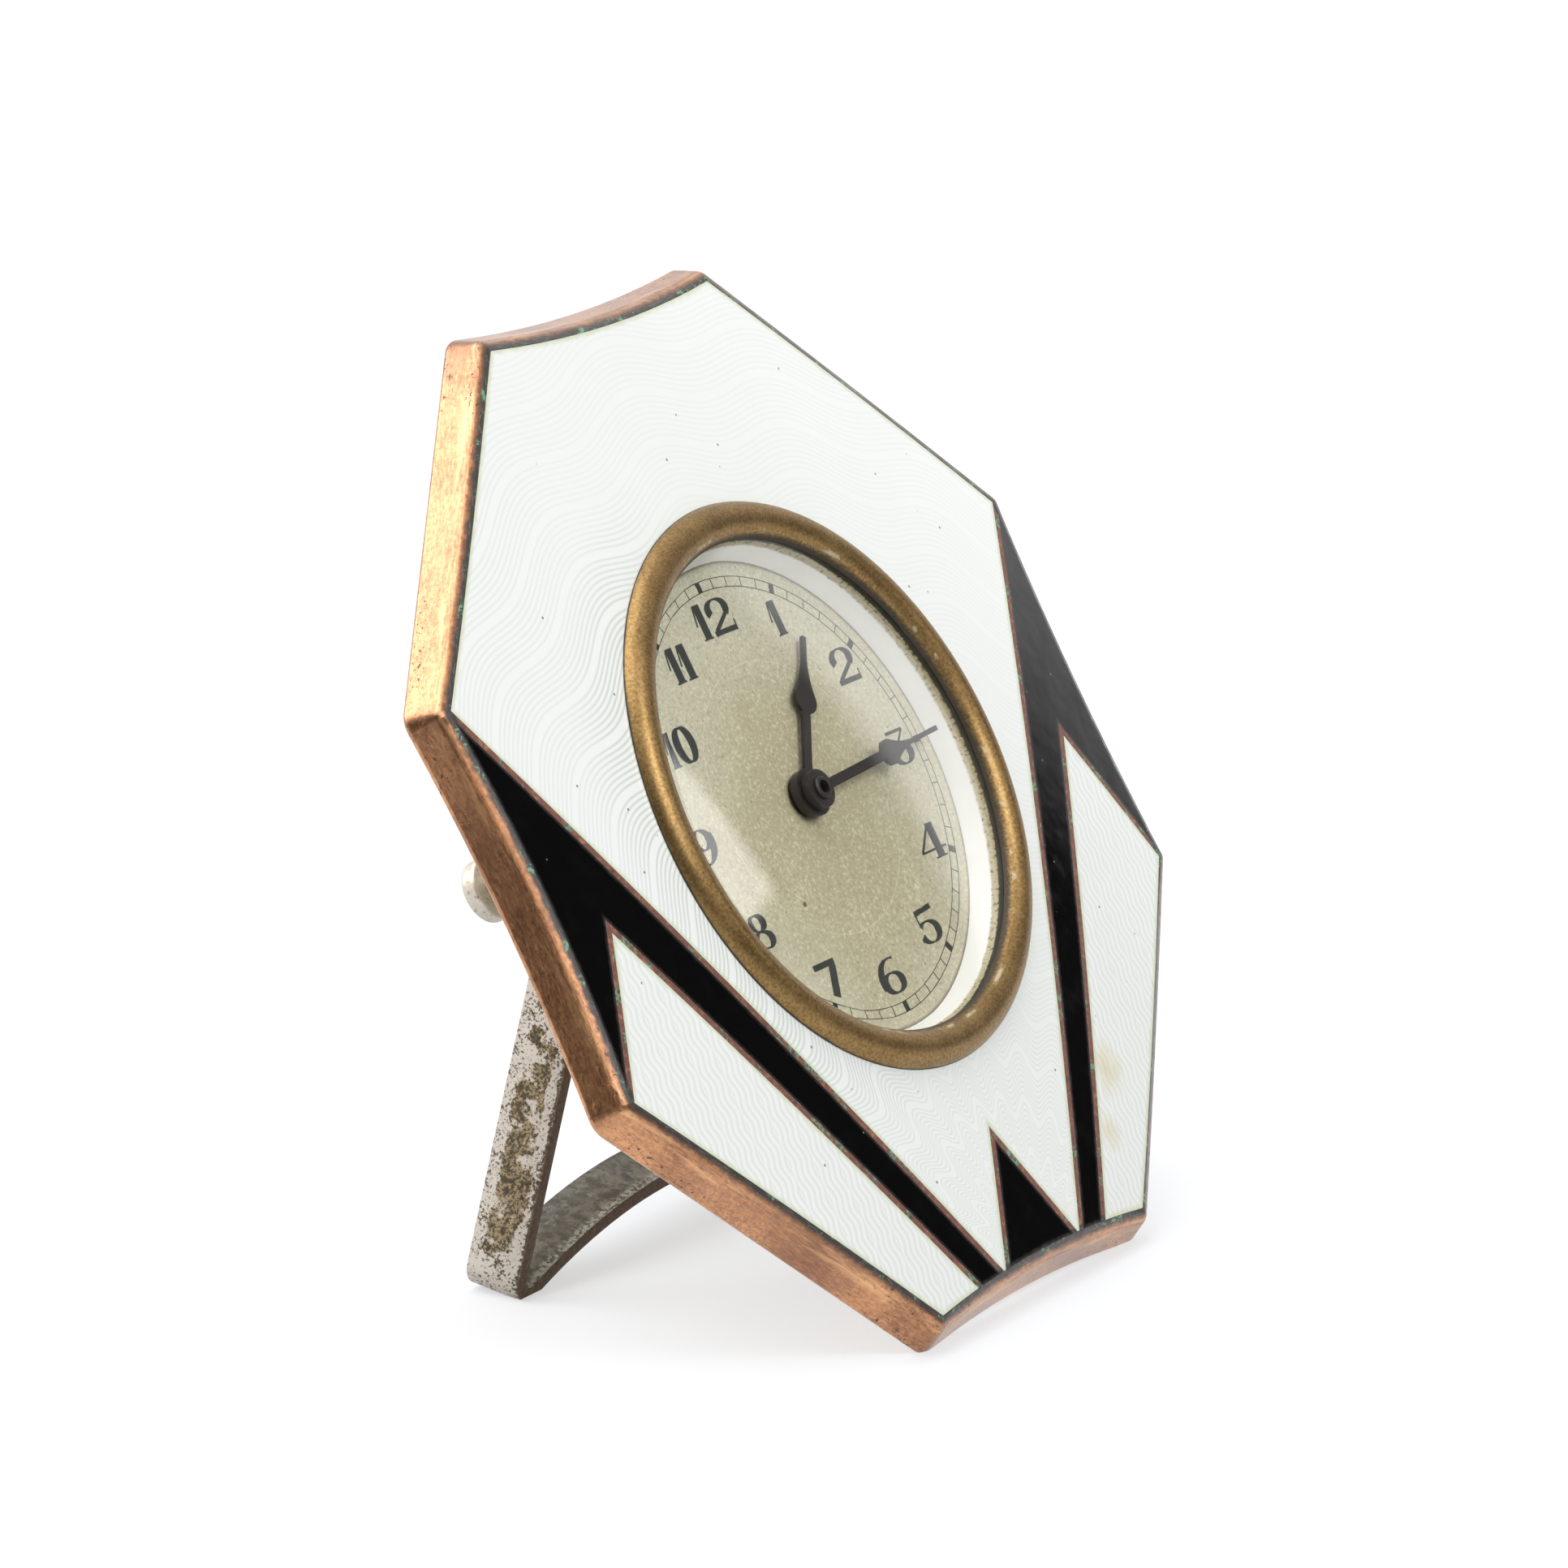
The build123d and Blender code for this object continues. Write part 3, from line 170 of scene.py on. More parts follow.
def buildFaceLayout():
    tree = bpy.data.node_groups.new("faceLayout", "ShaderNodeTree")
    for name, kind in (("Place", "Vector"), ("Across", "Float"), ("Brush", "Vector"), ("Edge", "Float"),
                       ("Fold", "Float")):
        tree.interface.new_socket(name=name, in_out="OUTPUT", socket_type="NodeSocket" + kind)
    g = Graph(tree)
    spot = g.place()
    x, y, z = g.split(spot)
    ax, ay = g.calc("ABSOLUTE", x), g.calc("ABSOLUTE", y)

    def sideGap(far, along):  # past a side that curves inwards
        part = g.calc("DIVIDE", along, face["sideHalf"])
        hollow = g.times(g.without(g.times(part, part)), face["sideSag"])
        return g.total(far, hollow, -face["half"])

    root = math.sqrt(0.5)
    slantGap = g.calc("SUBTRACT", g.times(g.total(ax, ay), root), (face["half"] + face["sideHalf"]) * root)
    straightGap = g.calc("MAXIMUM", sideGap(ax, ay), sideGap(ay, ax))
    across = g.calc("MAXIMUM", slantGap, straightGap)
    onSlant = g.calc("GREATER_THAN", slantGap, straightGap)
    upright = g.calc("GREATER_THAN", ax, ay)
    alongStraight = g.total(g.times(upright, y), g.times(g.without(upright), x))
    alongSlant = g.times(g.calc("SUBTRACT", ax, ay), root)
    along = g.total(g.times(onSlant, alongSlant), g.times(g.without(onSlant), alongStraight))

    def lineGap(start, end):
        run = (Vector(end) - Vector(start)).normalized()
        return g.total(g.times(g.calc("SUBTRACT", ax, start[0]), run.y),
                       g.times(g.calc("SUBTRACT", y, start[1]), -run.x))

    corner = (face["half"], face["sideHalf"])
    tongue = (pattern["veeFoot"], -face["half"])
    peak = Vector(corner).lerp(Vector(tongue), pattern["bandShare"]) + Vector((pattern["bandWidth"], 0))
    spike = (0, pattern["spikeHeight"] - face["half"])
    panelGap = g.calc("MINIMUM", lineGap(peak, (face["half"], -face["sideHalf"])),
                      g.times(lineGap(peak, (pattern["bandFoot"], -face["half"])), -1.0))
    edge = g.calc("ABSOLUTE", lineGap(corner, tongue))
    for gap in (panelGap, lineGap(spike, tongue)):
        edge = g.calc("MINIMUM", edge, g.calc("ABSOLUTE", gap))
    fold = g.calc("ABSOLUTE", g.calc("SUBTRACT", slantGap, straightGap))
    g.put("NodeGroupOutput", {"Place": spot, "Across": across, "Brush": g.vector(along, across, z),
                              "Edge": edge, "Fold": fold})
    return tree


faceLayout = buildFaceLayout()


def layoutOf(g):
    return g.put("ShaderNodeGroup", node_tree=faceLayout).outputs


# Copper of the case: brushed along its edges, pitted in bands, dark and green where it meets the enamel,
# with a painted highlight in patches along the rounded inner edge of the rim
# worn is the colour of the painted highlight on the rim's rounded inner edge
copperLook = {"bright": paint(219, 157, 108), "deep": paint(132, 83, 48), "speck": paint(46, 28, 20),
              "bruise": paint(128, 86, 68), "worn": paint(240, 184, 130), "brown": paint(98, 62, 40),
              "wall": paint(112, 66, 50), "wallBright": paint(176, 116, 84), "patina": paint(46, 38, 33),
              "ash": paint(116, 110, 104), "verdigris": paint(104, 156, 124), "lineTo": 0.5, "brownTo": 0.9,
              "rough": 0.28, "coat": 1.0, "coatRough": 0.32, "relief": 0.00003}


def copperFinish():
    look = copperLook
    material, g, shader = newFinish("worn_copper")
    layout = layoutOf(g)
    spot, across, fold = (layout[name] for name in ("Place", "Across", "Fold"))
    z = g.split(spot)[2]
    along, over, depth = g.split(layout["Brush"])

    def drawn(alongScale, overScale, detail=3.0):  # noise drawn out along the nearest side
        stretched = g.vector(g.times(along, alongScale), g.times(over, overScale), g.times(depth, overScale))
        return g.noise(stretched, 1.0, detail, 0.65)

    fine = drawn(1.3, 6.0)
    clouds = g.noise(spot, 0.16, 3.0, 0.6)
    mottle = g.noise(spot, 2.6, 4.0, 0.75)
    tone = g.total(g.times(fine, 0.45), g.times(mottle, 0.4), g.times(drawn(0.1, 0.8), 0.15),
                   g.times(clouds, 0.4), -0.2)
    colour = g.blend(g.rise(tone, 0.3, 0.7), look["deep"], look["bright"])
    bruised = g.times(g.rise(g.noise(spot, 0.09, 2.0), 0.52, 0.62), g.rise(mottle, 0.42, 0.6))
    colour = g.blend(g.times(bruised, 0.65), colour, look["bruise"])
    corner = g.rise(g.total(fold, g.times(clouds, 3.0)), 3.4, 1.2)
    colour = g.blend(g.times(corner, 0.45), colour, look["brown"])
    # painted highlight, in patches, on the rounded inner edge of the rim, 0.7 to 1.6 mm out from the enamel
    worn = g.times(g.rise(across, 0.7, 1.0), g.rise(across, 1.6, 1.2), g.rise(drawn(0.12, 1.2), 0.4, 0.6))
    colour = g.blend(g.times(worn, 0.6), colour, look["worn"])
    pitted = g.rise(drawn(0.05, 0.5, 2.0), 0.47, 0.60)
    pits = g.times(g.rise(drawn(2.0, 3.2), 0.58, 0.66), g.total(g.times(pitted, 0.9), 0.1))
    colour = g.blend(g.times(pits, 0.9), colour, look["speck"])
    onFront = g.rise(z, -0.8, -0.4)
    ragged = g.total(across, g.times(g.calc("SUBTRACT", g.noise(spot, 1.1, 4.0, 0.7), 0.5), 0.8))
    brown = g.times(onFront, g.rise(ragged, look["brownTo"], look["lineTo"]), 0.8)
    colour = g.blend(brown, colour, look["brown"])
    line = g.times(onFront, g.rise(ragged, look["lineTo"] + 0.08, look["lineTo"] - 0.12))
    colour = g.blend(line, colour, look["patina"])
    colour = g.blend(g.times(line, g.rise(drawn(1.2, 5.0), 0.52, 0.64), 0.5), colour, look["ash"])
    inside = g.rise(across, -0.32, -0.5)
    wallTone = g.noise(spot, 1.6, 4.0, 0.7)
    wall = g.blend(g.rise(wallTone, 0.5, 0.72), look["wall"], look["wallBright"])
    wall = g.blend(g.rise(wallTone, 0.42, 0.32), wall, look["patina"])
    colour = g.blend(g.times(inside, onFront), colour, wall)
    bloom = g.times(g.rise(g.noise(spot, 0.5, 4.0, 0.65), 0.55, 0.62),
                    g.rise(g.noise(spot, 3.2), 0.46, 0.56))
    green = g.times(bloom, g.larger(line, g.times(inside, 0.3)))
    colour = g.blend(green, colour, look["verdigris"])
    dull = g.larger(line, green)
    g.feed(colour, shader.inputs["Base Color"])
    g.feed(g.without(g.times(dull, 0.75)), shader.inputs["Metallic"])
    shader.inputs["Coat Weight"].default_value = look["coat"]
    shader.inputs["Coat Roughness"].default_value = look["coatRough"]
    rough = g.total(look["rough"], g.times(fine, 0.16), g.times(dull, 0.3), g.times(pits, 0.25))
    g.feed(rough, shader.inputs["Roughness"])
    relief = g.total(g.times(fine, 0.6), g.times(pits, -0.8), g.times(line, wallTone))
    g.feed(g.bump(relief, look["relief"], 0.7), shader.inputs["Normal"])
    return material


# White enamel over engine turning: wavy rings on the main panel, a scalloped weave on the lower ones
enamelLook = {"white": paint(240, 242, 238), "groove": paint(206, 212, 205), "fringe": paint(206, 211, 176),
              "stain": paint(214, 196, 140), "ringCentre": -42.8, "ringPitch": 0.52, "ringWave": 0.97,
              "ringWaves": 24, "ringTurn": 1.5, "ringBand": 73.7, "bandCount": 9, "weavePitch": 0.78,
              "weavePeriod": 2.75, "weaveWave": 0.2, "weaveCount": 4, "weaveDepth": 0.35, "rough": 0.16,
              "coat": 0.6, "coatRough": 0.06, "relief": 0.00002,
              "ringStains": [((4.5, -41.5), 2.2, 0.45)],  # place, size and depth of each
              "weaveStains": [((20.5, -31.5), 3.4, 0.6), ((16.8, -36.5), 2.4, 0.6),
                              ((-39.7, -19.4), 0.9, 0.9)]}


def ringTurning(g, spot):
    look = enamelLook
    x, y, z = g.split(spot)
    rise = g.calc("SUBTRACT", y, look["ringCentre"])
    radius = g.length(x, rise)
    angle = g.total(g.calc("ARCTAN2", x, rise), math.radians(look["ringTurn"]))
    wave = g.times(g.calc("COSINE", g.times(angle, float(look["ringWaves"]))), look["ringWave"])
    start = look["ringBand"] - (look["bandCount"] - 0.5) * look["ringPitch"]
    ring = g.calc("DIVIDE", g.total(radius, g.times(wave, -1.0), -start), look["ringPitch"])
    saw = g.calc("ABSOLUTE", g.calc("SUBTRACT", g.calc("FRACT", ring), 0.5))
    line = g.rise(saw, 0.34, 0.08)
    band = g.calc("FRACT", g.calc("DIVIDE", ring, float(look["bandCount"])))
    cut = g.rise(band, 1 - 0.85 / look["bandCount"], 1 - 1.05 / look["bandCount"])
    fromDial = g.length(x, y)
    pooled = g.times(g.rise(fromDial, 33.0, 25.6), g.rise(x, -4.0, -20.0))  # deepest left of the bezel
    strength = g.total(0.12, g.times(g.rise(x, -14.0, -30.0), 0.14), g.times(pooled, 0.6),
                       g.times(g.rise(y, -14.0, -34.0), 0.2))
    return g.times(line, cut, strength)


def weaveTurning(g, spot):
    look = enamelLook
    x, y, z = g.split(spot)
    column = g.calc("FLOOR", g.calc("DIVIDE", x, look["weavePitch"] * look["weaveCount"]))
    shift = g.times(g.calc("FLOORED_MODULO", column, 2.0), math.pi)
    phase = g.total(g.times(y, 2 * math.pi / look["weavePeriod"]), shift)
    lean = g.total(x, g.times(g.calc("SINE", phase), look["weaveWave"]))
    saw = g.calc("FRACT", g.calc("DIVIDE", lean, look["weavePitch"]))
    return g.times(g.rise(saw, 0.30, 0.78), look["weaveDepth"])


def cellBorder(g, layout):  # how far inside its cell's copper wall or the rim
    fromWall = g.calc("SUBTRACT", layout["Edge"], face["wall"] / 2)
    return g.calc("MINIMUM", fromWall, g.times(layout["Across"], -1.0))


def whiteEnamel(name, turning, stains):
    look = enamelLook
    material, g, shader = newFinish(name)
    layout = layoutOf(g)
    spot = layout["Place"]
    groove = turning(g, spot)
    cloud = g.noise(spot, 0.12, 2.0)
    colour = g.blend(g.total(groove, g.times(cloud, 0.12)), look["white"], look["groove"])
    border = cellBorder(g, layout)
    soft = g.total(border, g.times(g.calc("SUBTRACT", g.noise(spot, 0.9), 0.5), 0.5))
    colour = g.blend(g.times(g.rise(soft, 0.55, 0.0), 0.75), colour, look["fringe"])
    for place, size, depth in stains:
        gap = g.gap(spot, (place[0], place[1], face["dome"]))
        near = g.rise(g.total(gap, g.times(g.noise(spot, 0.6), size)), 1.5 * size, 0.4 * size)
        colour = g.blend(g.times(near, depth), colour, look["stain"])
    dust = g.rise(g.cells(spot, 0.33), 0.055, 0.03)
    colour = g.blend(g.times(dust, 0.7), colour, copperLook["patina"])
    g.feed(colour, shader.inputs["Base Color"])
    g.feed(g.total(look["rough"], g.times(cloud, 0.1)), shader.inputs["Roughness"])
    shader.inputs["Coat Weight"].default_value = look["coat"]
    shader.inputs["Coat Roughness"].default_value = look["coatRough"]
    ripple = g.total(g.times(groove, -0.6), g.noise(spot, 0.35))
    g.feed(g.bump(ripple, look["relief"], 0.5), shader.inputs["Normal"])
    return material


# Black enamel: deep and glossy, with a little dust and worn borders
blackLook = {"deep": paint(5, 5, 6), "cloud": paint(12, 10, 10), "dust": paint(170, 165, 158),
             "worn": paint(72, 66, 64), "rough": 0.05, "coat": 0.35, "coatRough": 0.03, "relief": 0.00004}


def blackEnamel():
    look = blackLook
    material, g, shader = newFinish("black_enamel")
    layout = layoutOf(g)
    spot = layout["Place"]
    cloud = g.noise(spot, 0.1, 3.0)
    colour = g.blend(cloud, look["deep"], look["cloud"])
    dust = g.rise(g.cells(spot, 0.42), 0.05, 0.025)
    colour = g.blend(g.times(dust, 0.5), colour, look["dust"])
    border = cellBorder(g, layout)
    worn = g.times(g.rise(g.total(border, g.times(g.noise(spot, 1.4), 0.3)), 0.55, 0.1), 0.6)
    colour = g.blend(worn, colour, look["worn"])
    g.feed(colour, shader.inputs["Base Color"])
    haze = g.rise(g.noise(spot, 0.5), 0.45, 0.7)
    g.feed(g.total(look["rough"], g.times(haze, 0.08), g.times(worn, 0.3)), shader.inputs["Roughness"])
    shader.inputs["Coat Weight"].default_value = look["coat"]
    shader.inputs["Coat Roughness"].default_value = look["coatRough"]
    g.feed(g.bump(g.noise(spot, 0.3, 2.0), look["relief"], 0.4), shader.inputs["Normal"])
    return material


# Bezel: grained bronze, with painted shade in the corner by the glass, darker at its foot, with pale polish
# left at its lip
bezelLook = {"bright": paint(164, 134, 88), "deep": paint(114, 89, 54), "grime": paint(46, 40, 29),
             "residue": paint(206, 196, 172), "inner": 21.95, "foot": 0.92, "rough": 0.34, "relief": 0.00002}


def bezelFinish():
    look = bezelLook
    material, g, shader = newFinish("bezel_bronze")
    spot = g.place()
    x, y, z = g.split(spot)
    radius = g.length(x, y)
    grain = g.noise(spot, 4.0, 3.0, 0.6)
    clouds = g.noise(spot, 0.3, 4.0, 0.6)
    colour = g.blend(g.rise(g.total(g.times(grain, 0.7), g.times(clouds, 0.3)), 0.28, 0.72),
                     look["deep"], look["bright"])
    # painted shade on the inner wall in the corner by the glass
    corner = g.rise(g.total(radius, g.times(grain, 0.3)), look["inner"] + 0.6, look["inner"] + 0.25)
    colour = g.blend(g.times(corner, 0.9), colour, look["grime"])
    lip = g.times(g.rise(radius, look["inner"] + 0.35, look["inner"] + 0.45),
                  g.rise(radius, look["inner"] + 0.75, look["inner"] + 0.55), g.rise(clouds, 0.57, 0.64))
    colour = g.blend(g.times(lip, 0.6), colour, look["residue"])
    # darker towards its foot
    foot = g.times(g.rise(g.total(z, g.times(clouds, 0.2)), look["foot"] + 0.28, look["foot"] + 0.1),
                   g.rise(radius, look["inner"] + 1.5, look["inner"] + 2.0))
    colour = g.blend(foot, colour, look["grime"])
    g.feed(colour, shader.inputs["Base Color"])
    dull = g.larger(g.times(lip, 0.7), g.times(corner, 0.8), g.times(foot, 0.8))
    g.feed(g.without(dull), shader.inputs["Metallic"])
    g.feed(g.total(look["rough"], g.times(clouds, 0.14), g.times(dull, 0.2)), shader.inputs["Roughness"])
    g.feed(g.bump(grain, look["relief"], 0.4), shader.inputs["Normal"])
    return material


# Dial: an aged silvered plate, darker towards the middle, with grain and a few spots, and painted shade at
# its outer edge by the reflector
dialLook = {"edge": paint(180, 177, 155), "middle": paint(160, 153, 124), "spot": paint(84, 66, 46),
            "grainPale": paint(222, 216, 188), "grainDark": paint(132, 120, 90),
            "flake": paint(214, 206, 170), "line": paint(226, 222, 198),
            "blot": (-6.4, -8.2, -face["dialDrop"]), "scribe": 12.2, "rim": 20.8, "rough": 0.42,
            "metallic": 0.15, "relief": 0.00002}


def dialFinish():
    look = dialLook
    material, g, shader = newFinish("aged_dial")
    spot = g.place()
    x, y, z = g.split(spot)
    radius = g.length(x, y)
    clouds = g.noise(spot, 0.12, 4.0, 0.6)
    sunk = g.total(radius, g.times(clouds, 14.0), g.times(y, 0.25), -7.0)
    colour = g.blend(g.rise(sunk, 6.0, 20.0), look["middle"], look["edge"])
    grain = g.noise(spot, 3.2, 4.0, 0.7)
    colour = g.blend(g.times(g.rise(grain, 0.5, 0.7), 0.5), colour, look["grainPale"])
    colour = g.blend(g.times(g.rise(grain, 0.48, 0.3), 0.6), colour, look["grainDark"])
    patches = g.noise(g.vector(x, g.total(y, 9.0), 0.0), 0.16, 3.0)
    worn = g.times(g.rise(patches, 0.52, 0.68), g.rise(y, 2.0, -8.0))
    flaked = g.times(worn, g.rise(g.noise(spot, 2.0, 5.0, 0.75), 0.5, 0.62))
    colour = g.blend(g.times(flaked, 0.6), colour, look["flake"])
    fleck = g.rise(g.total(g.cells(spot, 0.6), g.times(grain, 0.08)), 0.13, 0.07)
    colour = g.blend(g.times(fleck, 0.6), colour, look["spot"])
    blot = g.gap(spot, look["blot"])
    colour = g.blend(g.rise(g.total(blot, g.times(grain, 0.9)), 0.85, 0.6), colour, look["spot"])
    scribe = g.rise(g.calc("ABSOLUTE", g.calc("SUBTRACT", radius, look["scribe"])), 0.06, 0.01)
    colour = g.blend(g.times(scribe, 0.3), colour, look["line"])
    # painted shade in a ring at the dial's outer edge, where it meets the reflector
    colour = g.blend(g.times(g.rise(radius, look["rim"], look["rim"] + 0.4), 0.75), colour, look["spot"])
    g.feed(colour, shader.inputs["Base Color"])
    g.feed(g.total(look["rough"], g.times(grain, 0.2)), shader.inputs["Roughness"])
    shader.inputs["Metallic"].default_value = look["metallic"]
    g.feed(g.bump(grain, look["relief"], 0.5), shader.inputs["Normal"])
    return material


# Ink of the dial and black of the hands, both scuffed
inkLook = {"stretch": (1.2, 3.0, 2.0), "rough": 0.38, "relief": 0.00002}


def inkFinish(name, dark, worn, share):
    material, g, shader = newFinish(name)
    spot = g.place()
    stretched = g.vector(*(g.times(v, k) for v, k in zip(g.split(spot), inkLook["stretch"])))
    scuff = g.rise(g.noise(stretched, 3.5, 4.0, 0.7), 0.58, 0.74)
    g.feed(g.blend(g.times(scuff, share), dark, worn), shader.inputs["Base Color"])
    g.feed(g.total(inkLook["rough"], g.times(scuff, 0.3)), shader.inputs["Roughness"])
    g.feed(g.bump(g.noise(spot, 2.5, 4.0), inkLook["relief"], 0.4), shader.inputs["Normal"])
    return material


# Plain metals of the back, the movement and the small fittings
metalLook = {"pit": paint(86, 74, 54), "black": paint(24, 20, 20), "relief": 0.00001}


def metalFinish(name, bright, deep, rough, spots=0.0, metallic=1.0, tip=None):
    material, g, shader = newFinish(name)
    spot = g.place()
    x, y, z = g.split(spot)
    strokes = g.noise(g.vector(g.times(x, 0.2), g.times(y, 4.0), g.times(z, 4.0)), 1.0, 4.0, 0.6)
    clouds = g.noise(spot, 0.1, 3.0, 0.5)
    colour = g.blend(g.rise(g.total(g.times(strokes, 0.5), g.times(clouds, 0.5)), 0.2, 0.8), deep, bright)
    pits = g.times(g.rise(g.noise(spot, 1.7, 4.0, 0.7), 0.58, 0.66), spots)
    colour = g.blend(pits, colour, metalLook["pit"])
    if tip is not None:  # blackened in front of this height
        colour = g.blend(g.rise(z, tip - 0.1, tip), colour, metalLook["black"])
    g.feed(colour, shader.inputs["Base Color"])
    g.feed(g.calc("SUBTRACT", metallic, g.times(pits, 0.6 * metallic)), shader.inputs["Metallic"])
    g.feed(g.total(rough, g.times(clouds, 0.15), g.times(pits, 0.3)), shader.inputs["Roughness"])
    g.feed(g.bump(g.total(strokes, g.times(pits, -0.7)), metalLook["relief"], 0.5), shader.inputs["Normal"])
    return material


# Domed glass, clear to the lamps so that the dial behind it is lit
glassLook = {"edge": 21.85, "brim": 22.4, "seat": 1.05, "thick": 0.8, "rise": 2.1, "rings": 24, "turns": 160,
             "ior": 1.47, "scratch": 0.000002}


def glassFinish():
    material, g, shader = newFinish("clear_glass")
    shader.inputs["Base Color"].default_value = (1, 1, 1, 1)
    shader.inputs["Transmission Weight"].default_value = 1.0
    shader.inputs["IOR"].default_value = glassLook["ior"]
    spot = g.place()
    x, y, z = g.split(spot)
    scratch = g.noise(g.vector(g.times(x, 0.6), g.times(y, 5.0), z), 1.0, 4.0)
    g.feed(g.bump(g.rise(scratch, 0.6, 0.75), glassLook["scratch"], 0.3), shader.inputs["Normal"])
    shader.inputs["Roughness"].default_value = 0.0
    through = g.put("ShaderNodeBsdfTransparent")
    shadow = g.put("ShaderNodeLightPath").outputs["Is Shadow Ray"]
    mixed = g.put("ShaderNodeMixShader", {0: shadow, 1: shader.outputs[0], 2: through.outputs[0]})
    out = next(n for n in g.tree.nodes if n.type == "OUTPUT_MATERIAL")
    g.tree.links.new(mixed.outputs[0], out.inputs["Surface"])
    return material


# Reflector: bright silvering with a speckled tan border and painted shade at its edge under the glass
reflectorLook = {"silver": paint(248, 249, 247), "dull": paint(234, 235, 230), "tan": paint(190, 180, 146),
                 "speck": paint(104, 92, 66), "dark": paint(36, 38, 30), "border": 21.86, "edge": 22.06,
                 "rough": 0.35, "metallic": 0.1}


def reflectorFinish():
    look = reflectorLook
    material, g, shader = newFinish("silvered_ring")
    spot = g.place()
    x, y, z = g.split(spot)
    radius = g.length(x, y)
    specks = g.noise(spot, 3.0, 3.0, 0.7)
    ragged = g.total(radius, g.times(g.calc("SUBTRACT", specks, 0.5), 0.12))
    border = g.rise(ragged, look["border"] - 0.04, look["border"] + 0.04)
    # painted shade at the outer edge, in the gap under the bezel's lip
    edge = g.rise(ragged, look["edge"] - 0.03, look["edge"] + 0.03)
    colour = g.blend(g.noise(spot, 0.3), look["silver"], look["dull"])
    tan = g.blend(g.rise(specks, 0.52, 0.66), look["tan"], look["speck"])
    colour = g.blend(edge, g.blend(border, colour, tan), look["dark"])
    g.feed(colour, shader.inputs["Base Color"])
    g.feed(g.times(g.without(border), look["metallic"]), shader.inputs["Metallic"])
    g.feed(g.total(look["rough"], g.times(border, 0.2)), shader.inputs["Roughness"])
    return material


# Strut: pitted nickel outside with olive stains down its middle, flaked brown edges, dull grey inside
strutLook = {"nickel": paint(222, 212, 200), "dull": paint(204, 193, 179), "stain": paint(156, 132, 86),
             "blotch": paint(64, 54, 33), "pit": paint(74, 64, 48), "edge": paint(112, 90, 72),
             "inside": paint(114, 109, 97), "insideDark": paint(74, 68, 58),
             "insidePale": paint(146, 144, 130), "crust": paint(192, 192, 180), "bevel": 0.00018,
             "tilt": 10.0, "halfWidth": 2.35, "rough": 0.36, "metallic": 0.35, "relief": 0.00005}
strutTilt = math.radians(strutLook["tilt"])
widthways = Vector((0, math.cos(strutTilt), math.sin(strutTilt)))
strutSpan = [v.co.dot(widthways) for v in nodes["strut"].data.vertices]
strutMiddle = (min(strutSpan) + max(strutSpan)) / 2


def strutFinish():
    look = strutLook
    material, g, shader = newFinish("pitted_nickel")
    spot = g.place()
    own = g.put("ShaderNodeTexCoord").outputs["Object"]
    height = g.split(own)[2]
    width = g.put("ShaderNodeVectorMath", {0: own, 1: widthways}, operation="DOT_PRODUCT").outputs["Value"]
    width = g.times(g.calc("SUBTRACT", width, strutMiddle), 1000.0 / look["halfWidth"])  # minus in front
    side = g.put("ShaderNodeAttribute", attribute_name="side").outputs["Fac"]
    onEdge = g.times(g.rise(side, 0.2, 0.45), g.rise(side, 0.8, 0.55))
    onInside = g.rise(side, 0.6, 0.9)
    coarse = g.noise(spot, 0.5, 4.0, 0.65)
    fine = g.noise(spot, 2.4, 4.0, 0.75)
    low = g.times(g.rise(height, 0.030, 0.016), g.rise(height, 0.002, 0.006))
    middle = g.rise(g.calc("ABSOLUTE", width), 1.0, 0.45)
    colour = g.blend(g.noise(spot, 0.6, 3.0), look["nickel"], look["dull"])
    stain = g.rise(g.total(coarse, g.times(low, middle, 0.27)), 0.64, 0.74)
    colour = g.blend(g.times(stain, 0.85), colour, look["stain"])
    specks = g.noise(spot, 4.0, 3.0, 0.7)
    pits = g.rise(g.total(specks, g.times(coarse, 0.4), g.times(stain, 0.03)), 0.74, 0.79)
    colour = g.blend(g.times(pits, 0.9), colour, look["pit"])
    blotch = g.times(stain, g.rise(g.total(g.noise(spot, 1.2, 4.0, 0.6), g.times(fine, 0.2)), 0.61, 0.70))
    colour = g.blend(g.times(blotch, 0.85), colour, look["blotch"])
    flaked = g.rise(g.calc("SUBTRACT", g.times(g.calc("SUBTRACT", fine, 0.5), 0.8), width), 0.94, 1.0)
    brown = g.blend(g.rise(fine, 0.4, 0.65), look["edge"], look["pit"])
    colour = g.blend(g.larger(flaked, g.times(onEdge, g.rise(coarse, 0.36, 0.44))), colour, brown)
    inner = g.blend(g.rise(g.noise(spot, 0.7, 5.0, 0.7), 0.40, 0.66), look["insideDark"], look["inside"])
    pale = g.times(g.rise(g.total(coarse, g.times(fine, 0.5)), 0.76, 0.92), 0.5)
    inner = g.blend(pale, inner, look["insidePale"])
    crust = g.times(g.rise(width, -0.6, -0.9), g.rise(height, 0.012, 0.005), g.rise(fine, 0.44, 0.56), 0.7)
    inner = g.blend(crust, inner, look["crust"])
    colour = g.blend(onInside, colour, inner)
    dull = g.larger(stain, pits, onInside, onEdge)
    g.feed(colour, shader.inputs["Base Color"])
    g.feed(g.calc("SUBTRACT", look["metallic"], g.times(dull, 0.25)), shader.inputs["Metallic"])
    g.feed(g.total(look["rough"], g.times(dull, 0.28)), shader.inputs["Roughness"])
    relief = g.total(fine, g.times(pits, -1.0), g.times(blotch, -0.6))
    g.feed(g.bump(relief, look["relief"], 0.6), shader.inputs["Normal"])
    return material


